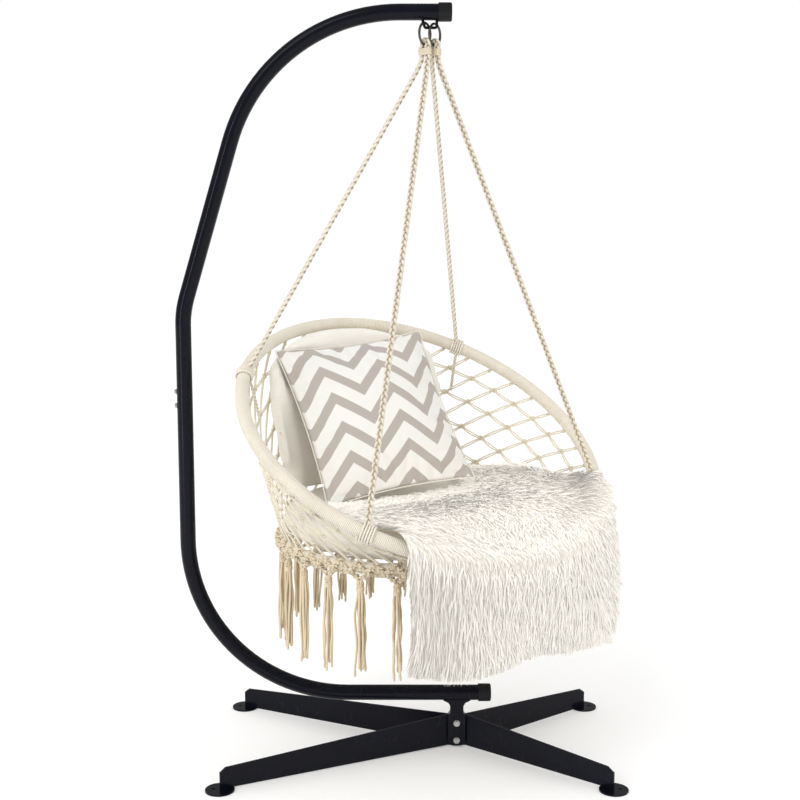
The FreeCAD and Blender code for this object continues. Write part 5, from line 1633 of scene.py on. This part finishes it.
@dataclass
class ThrowPillow:
    """The square pillow with a zigzag cover, leaning on the back cushion."""

    half_width: float = 0.225
    half_depth: float = 0.065
    draw: float = 0.014
    place: tuple[float, float, float] = (-0.210, -0.015, 0.859)
    yaw: float = -8.1
    lean: float = -32.0
    roll: float = 4.9
    across: int = 56
    frames: int = 22
    fold: float = 0.0065
    piping: float = 0.0016

    def axes(self) -> np.ndarray:
        """The pillow's front, left and up directions as the columns of a matrix."""
        yaw, lean, roll = (math.radians(a) for a in (self.yaw, self.lean, self.roll))
        about_z = np.array([[math.cos(yaw), -math.sin(yaw), 0],
                            [math.sin(yaw), math.cos(yaw), 0], [0, 0, 1]])
        about_y = np.array([[math.cos(lean), 0, math.sin(lean)], [0, 1, 0],
                            [-math.sin(lean), 0, math.cos(lean)]])
        about_x = np.array([[1, 0, 0], [0, math.cos(roll), -math.sin(roll)],
                            [0, math.sin(roll), math.cos(roll)]])
        return about_z @ about_y @ about_x

    def profile(self, u: np.ndarray, v: np.ndarray) -> tuple[np.ndarray, np.ndarray]:
        """Drawn-in places and crown heights of a square sheet.

        Args:
            u: Across, -1 to 1.
            v: Up, -1 to 1.

        Returns:
            Positions of shape u's by 2, and heights of the face there.
        """
        pull_u = self.draw * (1 - v ** 2) * np.sign(u) * np.abs(u) ** 1.5
        pull_v = self.draw * (1 - u ** 2) * np.sign(v) * np.abs(v) ** 1.5
        flat = np.stack([u * self.half_width - pull_u, v * self.half_width - pull_v], axis=-1)
        crown = self.half_depth * ((1 - np.abs(u) ** 2.1) * (1 - np.abs(v) ** 2.1)) ** 0.52
        return flat, crown

    def keep_clear(self, points: np.ndarray, margin: float) -> np.ndarray:
        """Points of another cushion pressed back off the pillow's rear face.

        Args:
            points: Points of the other cushion, in the chair's axes.
            margin: Clearance to keep.

        Returns:
            The points, moved where they would lie in the pillow.
        """
        matrix = self.axes()
        local = (points - np.array(self.place)) @ matrix
        u, v = local[..., 1] / self.half_width, local[..., 2] / self.half_width
        inside = (np.abs(u) < 1.04) & (np.abs(v) < 1.04)
        _, crown = self.profile(np.clip(u, -1, 1), np.clip(v, -1, 1))
        limit = -(crown + margin)
        pressed = np.where(inside & (local[..., 0] > limit), limit, local[..., 0])
        local[..., 0] = pressed
        return local @ matrix.T + np.array(self.place)

    def sewn(self) -> tuple[np.ndarray, np.ndarray, np.ndarray]:
        """The pillow's two faces before it is filled, joined at their edge.

        Returns:
            Local points, UV in metres and face corners.
        """
        n = self.across
        line = np.linspace(-1, 1, n + 1)
        u, v = np.meshgrid(line, line, indexing="ij")
        flat, crown = self.profile(u, v)
        number = np.arange((n + 1) ** 2).reshape(n + 1, n + 1)
        edge = (np.abs(u) == 1) | (np.abs(v) == 1)
        front = np.stack([crown, flat[..., 0], flat[..., 1]], axis=-1).reshape(-1, 3)
        back_number = number.copy()
        back_number[~edge] = (n + 1) ** 2 + np.arange((~edge).sum())
        back = np.stack([-crown, flat[..., 0], flat[..., 1]], axis=-1)[~edge]
        points = np.vstack([front, back])
        spread = np.stack([u, v], axis=-1).reshape(-1, 2) * self.half_width
        uv = np.vstack([spread, (np.stack([u, v], axis=-1)[~edge]) * self.half_width])

        def faces(order: np.ndarray, flip: bool) -> np.ndarray:
            """Four-sided faces of one side."""
            quads = np.stack([order[:-1, :-1], order[1:, :-1], order[1:, 1:], order[:-1, 1:]],
                             axis=-1).reshape(-1, 4)
            return quads[:, ::-1] if flip else quads

        return points, uv, np.vstack([faces(number, False), faces(back_number, True)])

    def filled(self, points: np.ndarray, faces: np.ndarray) -> np.ndarray:
        """The pillow blown up as cloth, so that its seams pucker.

        Args:
            points: Local points before filling.
            faces: Its faces.

        Returns:
            The points after filling.
        """
        slack = points * np.array([0.8, 1.0, 1.0])
        mesh = bpy.data.meshes.new("pillow_filling")
        mesh.from_pydata(slack.tolist(), [], faces.tolist())
        form = bpy.data.objects.new("pillow_filling", mesh)
        bpy.context.scene.collection.objects.link(form)
        cloth = form.modifiers.new("filling", "CLOTH")
        held = form.vertex_groups.new(name="seam")
        held.add([int(k) for k in np.flatnonzero(np.abs(points[:, 0]) < 1e-9)], 1.0, "REPLACE")
        cloth.settings.vertex_group_mass = "seam"
        cloth.settings.shrink_min = -0.045
        cloth.settings.quality = 6
        cloth.settings.mass = 0.25
        cloth.settings.tension_stiffness = 22.0
        cloth.settings.compression_stiffness = 22.0
        cloth.settings.shear_stiffness = 8.0
        cloth.settings.bending_stiffness = 0.25
        cloth.settings.use_pressure = True
        cloth.settings.uniform_pressure_force = 5.0
        cloth.settings.effector_weights.gravity = 0.0
        cloth.collision_settings.use_collision = False
        scene = bpy.context.scene
        for number in range(1, self.frames + 1):
            scene.frame_set(number)
        ready = form.evaluated_get(bpy.context.evaluated_depsgraph_get())
        moved = np.array([v.co for v in ready.data.vertices], float)
        bpy.data.objects.remove(form)
        bpy.data.meshes.remove(mesh)
        scene.frame_set(1)
        return moved

    def build(self) -> None:
        """Makes the pillow."""
        points, uv, faces = self.sewn()
        points = self.filled(points, faces)
        points[:, 0] *= self.half_depth / np.abs(points[:, 0]).max()
        points[:, 1:] = np.clip(points[:, 1:], -self.half_width, self.half_width)
        side = np.clip(uv / self.half_width, -1, 1)
        near_left = np.exp(-((1 - side[:, 0]) / 0.5) ** 2)
        fold = ripples(side[:, 0] * 0.25, side[:, 1] * 1.2, 81, 8, 2.0, 5.0)
        points[:, 0] += np.sign(points[:, 0]) * self.fold * fold * near_left * (
            1 - np.abs(side[:, 0]) ** 8) * (1 - np.abs(side[:, 1]) ** 6)
        placed = points @ self.axes().T + np.array(self.place)
        mesh = bpy.data.meshes.new("zigzag_pillow")
        mesh.from_pydata(AXES.world(placed).tolist(), [], faces.tolist())
        # Groove values that paint shade near the seam.
        seam = np.clip((1 - np.abs(side).max(1)) / 0.03, 0, 1)
        dress(mesh, uv[faces.ravel()], 0.35 + 0.65 * seam, ZigzagCover().material())
        mesh.update()
        pillow = declare(mesh, Slot.PILLOW, "throw_pillow")
        smooth = pillow.modifiers.new("smoothing", "SUBSURF")
        smooth.levels = smooth.render_levels = 1
        self.pipe(placed, uv)

    def pipe(self, placed: np.ndarray, uv: np.ndarray) -> None:
        """Adds the sewn edge of the pillow as a fine rolled seam.

        Args:
            placed: The pillow's points in the chair's axes.
            uv: Their places on the flat cover.
        """
        edge = np.abs(np.abs(uv).max(1) - self.half_width) < 1e-9
        places = uv[edge]
        order = np.argsort(np.arctan2(places[:, 1], places[:, 0]))
        skin = Skin()
        skin.tubes(placed[edge][order][None], self.piping, 6, closed=True,
                   crease=np.full((1, len(order)), 0.6))
        skin.build("pillow_seam", PlainCover("pillow_seam_cover").material(), Slot.PILLOW,
                   "throw_pillow")


@dataclass
class FurThrow:
    """The long-haired throw over the seat and over the front of the hoop.

    A slice holds an angle, the rear edge, the rise at the rear and at the front, the drop of
    the hem and its fold. The hair's bow holds, from root to tip, places along a hair, its rise
    there and its width there, as shares.
    """

    rim: float = 0.6578
    around: float = 0.0201
    fall: float = 0.110
    thickness: float = 0.022
    tufts: int = 24500
    slices: tuple[tuple[float, ...], ...] = (
        (-38, -.055, .0018, .0048, .3098, .008), (-26, -.055, -.0065, .0048, .3168, .020),
        (-13, -.055, -.0128, .0048, .3178, .010), (0, -.055, -.0156, .0048, .2978, .003),
        (13, -.055, -.0128, .0048, .3058, .014), (26, -.055, -.0065, .0048, .3228, .024),
        (38, -.190, .0018, .0078, .3408, .018), (48, -.120, .0222, .0262, .3528, .028),
        (51, -.060, .0322, .0362, .3398, .024))
    stations: tuple[float, ...] = (0.0, 0.30, 0.43, 0.50, 0.56, 0.78, 1.0)
    under: float = 0.10
    hide: float = 0.26
    mesh_size: tuple[int, int] = (90, 70)
    cloth: tuple[float, float] = (0.75, 0.95)
    lock: float = 0.017
    wave: float = 0.004
    hair: tuple[float, float] = (0.034, 0.056)
    hair_width: tuple[float, float] = (0.0014, 0.0027)
    loft: float = 0.0150
    bow: tuple[tuple[float, ...], ...] = (
        (0.0, 0.25, 0.55, 0.82, 1.0), (0.0, 0.42, 0.80, 0.93, 0.85), (1, 1.05, 0.8, 0.45, 0.1))

    def slice_line(self, row: tuple[float, ...], lift: float) -> np.ndarray:
        """Seven points of one slice, from the rear edge to the hem.

        Args:
            row: Angle, rear edge, rear and front rise, drop of the hem and its fold.
            lift: 0 at the underside of the throw to 1 at the tips of its pile.

        Returns:
            The points.
        """
        angle, rear, rear_rise, front_rise, hem_drop, fold = row
        stretch = 1 / math.cos(math.radians(angle))
        tilt = math.radians(AXES.hoop_tilt)
        hoop = AXES.hoop_point(angle)
        forward = AXES.forward * (self.around * stretch)
        upward = np.array([math.sin(tilt), 0, math.cos(tilt)]) * self.around
        edge = hoop + forward * 1.1 + upward * 0.3
        rear_z, front_z = self.rim + rear_rise, self.rim + front_rise
        hem_z = self.rim - hem_drop
        up = np.array([0, 0, self.thickness])
        out = np.array([self.thickness * stretch, 0, 0])
        lower = [np.array([rear, hoop[1], rear_z]),
                 np.array([hoop[0] - self.fall, hoop[1], front_z]),
                 hoop - forward * 0.7 + upward * 1.1, hoop + forward * 0.6 + upward * 1.1, edge,
                 np.array([edge[0] + 0.5 * fold + 0.003, hoop[1], (edge[2] + hem_z) / 2]),
                 np.array([edge[0] + fold, hoop[1], hem_z])]
        outward = [up, up, up * 1.05, out * 0.4 + up * 0.8, out + up * 0.25, out, out]
        return np.array([a + b * lift for a, b in zip(lower, outward)])

    def surface(self, s: np.ndarray, t: np.ndarray, lift: float) -> np.ndarray:
        """Points of the throw, smooth along and across its slices.

        Args:
            s: Along, 0 at the rear to 1 at the hem.
            t: Across, 0 at the chair's right to 1 at its left.
            lift: 0 at the underside to 1 at the tips.

        Returns:
            The points.
        """
        lines = np.array([self.slice_line(row, lift) for row in self.slices])
        angles = np.array([row[0] for row in self.slices])
        across = (angles - angles[0]) / (angles[-1] - angles[0])
        return smooth_rows(np.array(self.stations), smooth_between(across, lines, t), s)

    def ripple(self, s: np.ndarray, t: np.ndarray) -> np.ndarray:
        """Folds that grow towards the hem."""
        hang = soft_step((s - 0.52) / 0.48)
        return hang * self.wave * (1.6 + np.sin(t * 31.0) + 0.6 * np.sin(t * 53.0 + 1.0))

    def build(self) -> None:
        """Makes the backing and the pile."""
        rows, columns = self.mesh_size
        s, t = np.meshgrid(np.linspace(-0.03, 0.975, rows), np.linspace(-0.012, 1, columns),
                           indexing="ij")
        low, high = (self.surface(s.ravel(), t.ravel(), lift).reshape(rows, columns, 3)
                     for lift in (self.under, self.hide))
        push = unit(high - low) * self.ripple(s, t)[..., None]
        low, high = low + push * 0.5, high + push * 0.5
        uv = np.stack([t, s], axis=-1) * self.cloth
        skin = Skin()
        skin.grid(high, uv)
        skin.grid(low[:, ::-1], uv[:, ::-1])
        for a, b in ((high[0], low[0]), (low[-1], high[-1]), (low[:, 0], high[:, 0]),
                     (high[:, -1], low[:, -1])):
            skin.grid(np.stack([b, a]), np.tile(uv[0, 0], (2, len(a), 1)))
        backing = skin.build("throw_backing", HideBacking().material(), Slot.FUR, "fur_throw")
        backing.data.materials.append(FurPile("fur_ground", 0.14).material())
        haired = np.zeros(len(backing.data.polygons), np.int32)
        haired[:(rows - 1) * (columns - 1)] = 1
        backing.data.polygons.foreach_set("material_index", haired)
        self.store_lie(backing, AXES.world(unit(high - low)) - AXES.world(np.zeros(3)))
        weld(backing)
        pile = self.pile()

    def store_lie(self, piece: bpy.types.Object, directions: np.ndarray) -> None:
        """Keeps shading directions on the first points of a piece, upwards on the rest."""
        flat = np.tile(UP, (len(piece.data.vertices), 1))
        flat[:directions.size // 3] = unit(directions.reshape(-1, 3))
        kept = piece.data.attributes.new("lie", "FLOAT_VECTOR", "POINT")
        kept.data.foreach_set("vector", flat.astype(np.float32).ravel())

    def pile(self) -> bpy.types.Object:
        """Makes the long hair as tapering tufts that lie and hang in locks.

        Returns:
            The pile.
        """
        random = np.random.default_rng(SEED + 11)
        count = self.tufts
        s, t = random.uniform(-0.035, 1, count), random.uniform(-0.02, 1.01, count)
        edge = random.uniform(0, 1, count)
        rim = count // 14
        t[:rim] = np.where(edge[:rim] < 0.5, edge[:rim] * 0.06 - 0.02,
                           1.01 - (1 - edge[:rim]) * 0.06)
        s[rim:2 * rim] = 0.06 * edge[rim:2 * rim] - 0.035
        root = self.surface(s, t, self.hide)
        up = unit(self.surface(s, t, 1.0) - root)
        further = np.minimum(s + 0.02, 1.0)
        ahead = unit(self.surface(further, t, self.hide)
                     - self.surface(further - 0.02, t, self.hide))
        across = unit(np.cross(up, ahead))
        hang = soft_step((s - 0.5) / 0.1)
        swirl = ripples(s * 1.3, t * 1.3, 91, 8, 0.8, 2.6) * (0.42 - 0.22 * hang)
        swirl = swirl + random.normal(0, 0.24, count)
        rearward = soft_step((0.05 - s) / 0.05) * 2.4 * np.sign(random.uniform(-1, 1, count))
        swirl += rearward
        lay = ahead * np.cos(swirl)[:, None] + across * np.sin(swirl)[:, None]
        cell = self.lock
        key_s, key_t = s * self.cloth[1] / cell, t * self.cloth[0] / cell
        centre_s = (np.floor(key_s) + 0.5 + 0.35 * np.sin(12.9 * np.floor(key_t))) - key_s
        centre_t = (np.floor(key_t) + 0.5 + 0.35 * np.sin(7.7 * np.floor(key_s))) - key_t
        gather = ahead * (centre_s * cell * 0.75)[:, None] + across * (
            -centre_t * cell * 0.75)[:, None]
        length = random.uniform(*self.hair, count) * (0.8 + 0.25 * hang)
        rise = (0.24 + 0.04 * (1 - hang)) * random.uniform(0.5, 1.15, count)
        hem = self.surface(np.ones(count), t, 0.5)[:, 2] + random.uniform(-0.006, 0.010, count)
        hem = hem + 0.035 * soft_step((t - 0.8) / 0.2)
        room = np.where(hang > 0, (root[:, 2] - hem) / (length + 0.010), 1.0)
        length = length * np.clip(room, 0.12, 1.0)
        steps, bend, widths = np.array(self.bow)
        path = np.zeros((count, len(steps), 3))
        reach = np.minimum(length * rise, self.loft)
        for k, (share, over) in enumerate(zip(steps, bend)):
            path[:, k] = (root + lay * (length * share)[:, None] + up * (reach * over)[:, None]
                          + gather * share ** 1.5)
            fall = (0.010 * hang * share ** 2 * np.clip(room, 0.0, 1.0))[:, None]
            path[:, k] -= UP * fall
        width = random.uniform(*self.hair_width, count)[:, None] * widths
        tilt = random.uniform(-0.3, 0.3, count)[:, None, None]
        sideways = unit(np.cross(up, lay))[:, None] * np.cos(tilt) + up[:, None] * np.sin(tilt)
        half = sideways * width[..., None]
        points = np.stack([path - half, path + half], axis=2)
        number = len(steps)
        base = (np.arange(count) * number * 2)[:, None]
        k = np.arange(number - 1)[None, :] * 2
        quads = np.stack([base + k, base + k + 1, base + k + 3, base + k + 2], axis=-1)
        uv = np.zeros((count, number - 1, 4, 2))
        uv[..., 0] = random.uniform(0, 1, count)[:, None, None] * 20
        uv[..., 0] += np.array([0.0, 1.0, 1.0, 0.0]) * 0.02
        uv[..., 1] = (steps[:-1][None, :, None] + np.diff(steps)[None, :, None]
                      * np.array([0, 0, 1, 1.0])) * 0.05
        skin = Skin()
        skin.points.append(points.reshape(-1, 3))
        shade = 0.25 + 0.75 * steps[None, :, None] + 0 * points[..., 0]
        skin.crease.append(shade.reshape(-1))
        skin.quads.append(quads.reshape(-1, 4))
        skin.quad_uvs.append(uv.reshape(-1, 4, 2))
        pile = skin.build("throw_pile", FurPile().material(), Slot.FUR, "fur_throw")
        stray = unit(up + lay * 0.1 + random.normal(0, 0.09, (count, 3)))
        turned = AXES.world(stray) - AXES.world(np.zeros(3))
        self.store_lie(pile, np.repeat(turned, 2 * number, axis=0))
        return pile


def twin_cords(skin: Skin, line: np.ndarray, apart: np.ndarray, cord: float,
               shade: np.ndarray) -> None:
    """Adds two cords side by side.

    Args:
        skin: What they are added to.
        line: The line midway between them.
        apart: From the line to one of them, at each point.
        cord: Radius of a cord.
        shade: For each point, 0 in a groove to 1 on a ridge.
    """
    skin.tubes(np.stack([line + apart, line - apart]), cord, 6, crease=np.stack([shade, shade]))


def tied_knot(skin: Skin, middle: np.ndarray, axes: tuple[np.ndarray, ...],
              half: tuple[float, float, float], cord: float, dark: float, seed: int) -> None:
    """Adds a knot of one cord, tied as a closed trefoil.

    Args:
        skin: What it is added to.
        middle: Its middle.
        axes: Its directions across, up and outwards.
        half: Half its width, height and depth.
        cord: Radius of its cord.
        dark: The painted shade where the cord dips into its middle, as a groove value from 0 to
            1.
        seed: Which turn it is tied with.
    """
    across, up, outward = axes
    t = turns_of(30)
    roll = np.random.default_rng(SEED + seed).uniform(0, FULL_TURN)
    u, v = (np.sin(t) + 2 * np.sin(2 * t)) / 3.0, (np.cos(t) - 2 * np.cos(2 * t)) / 3.0
    x, y = u * math.cos(roll) - v * math.sin(roll), u * math.sin(roll) + v * math.cos(roll)
    path = (middle + across * (x * half[0])[:, None] + up * (y * half[1])[:, None]
            - outward * (np.sin(3 * t) * half[2])[:, None])
    shade = dark + (1 - dark) * soft_step((np.hypot(x, y) - 0.35) / 0.4)
    skin.tubes(path[None], cord, 6, crease=shade[None], closed=True)


def weld(piece: bpy.types.Object) -> None:
    """Joins the points of a piece that lie on each other, so that its sheets close."""
    joined = bmesh.new()
    joined.from_mesh(piece.data)
    bmesh.ops.remove_doubles(joined, verts=joined.verts, dist=1e-6)
    joined.to_mesh(piece.data)
    joined.free()


def cubic(share: np.ndarray, width: np.ndarray, values: tuple[np.ndarray, np.ndarray],
          slopes: tuple[np.ndarray, np.ndarray]) -> np.ndarray:
    """A cubic curve over one interval.

    Args:
        share: Where it is read, 0 to 1.
        width: Width of the interval.
        values: Its values at both ends.
        slopes: Its slopes at both ends.

    Returns:
        The values there.
    """
    square, cube = share ** 2, share ** 3
    return ((2 * cube - 3 * square + 1) * values[0]
            + (cube - 2 * square + share) * width * slopes[0]
            + (3 * square - 2 * cube) * values[1] + (cube - square) * width * slopes[1])


def interval(knots: np.ndarray, at: np.ndarray) -> np.ndarray:
    """The number of the interval between knots in which each place lies."""
    return np.clip(np.searchsorted(knots, at, side="right") - 1, 0, len(knots) - 2)


def smooth_between(knots: np.ndarray, values: np.ndarray, at: np.ndarray) -> np.ndarray:
    """A smooth curve through values at knots, read at each place.

    Args:
        knots: Places of the values, rising.
        values: Knots by any shape.
        at: Where it is read, at most 0.35 of an interval past the ends.

    Returns:
        The values there.
    """
    slope = np.gradient(values, knots, axis=0)
    k = interval(knots, at)
    width = knots[k + 1] - knots[k]
    share = np.clip((at - knots[k]) / width, -0.35, 1.35)
    extra = (slice(None),) + (None,) * (values.ndim - 1)
    return cubic(share[extra], width[extra], (values[k], values[k + 1]), (slope[k], slope[k + 1]))


def smooth_rows(knots: np.ndarray, rows: np.ndarray, at: np.ndarray) -> np.ndarray:
    """For each row of points, a smooth curve through them, read at that row's place.

    Args:
        knots: Places of the points along each row, rising.
        rows: Rows by knots by 3.
        at: One place for each row.

    Returns:
        Rows by 3.
    """
    slope = np.gradient(rows, knots, axis=1)
    k = interval(knots, at)
    pick = np.arange(len(rows))
    width = (knots[k + 1] - knots[k])[:, None]
    share = ((at - knots[k]) / width[:, 0])[:, None]
    return cubic(share, width, (rows[pick, k], rows[pick, k + 1]),
                 (slope[pick, k], slope[pick, k + 1]))


def main() -> None:
    """Builds the studio and the pieces of the chair, cords first."""
    logging.basicConfig(level=logging.INFO, format="%(message)s")
    Studio().build()
    for side, length in ((Side.LEFT, 2.07), (Side.RIGHT, 2.11)):
        SuspensionRope(side, length).build()
        RopeTail(side).build()
        Whipping(side).build()
    for end, rope in (("front", AXES.front_rope), ("back", AXES.back_rope)):
        for side in Side:
            Lashing(end + "_" + side.word, side.value * rope + AXES.rope_turn).build()
    StandDress().build()
    WoundRing("hoop_winding", "hoop_wrapping", AXES.hoop_radius, AXES.hoop_wrap, True).build()
    WoundRing("seat_ring_winding", "seat_ring_wrapping", AXES.seat_radius, AXES.seat_wrap,
              False, sides=10).build()
    SideNet().build()
    SeatNet().build()
    KnottedBorder().build()
    Fringe().build()
    SeatPad().build()
    BackPad().build()
    ThrowPillow().build()
    FurThrow().build()


if __name__ == "__main__":
    main()
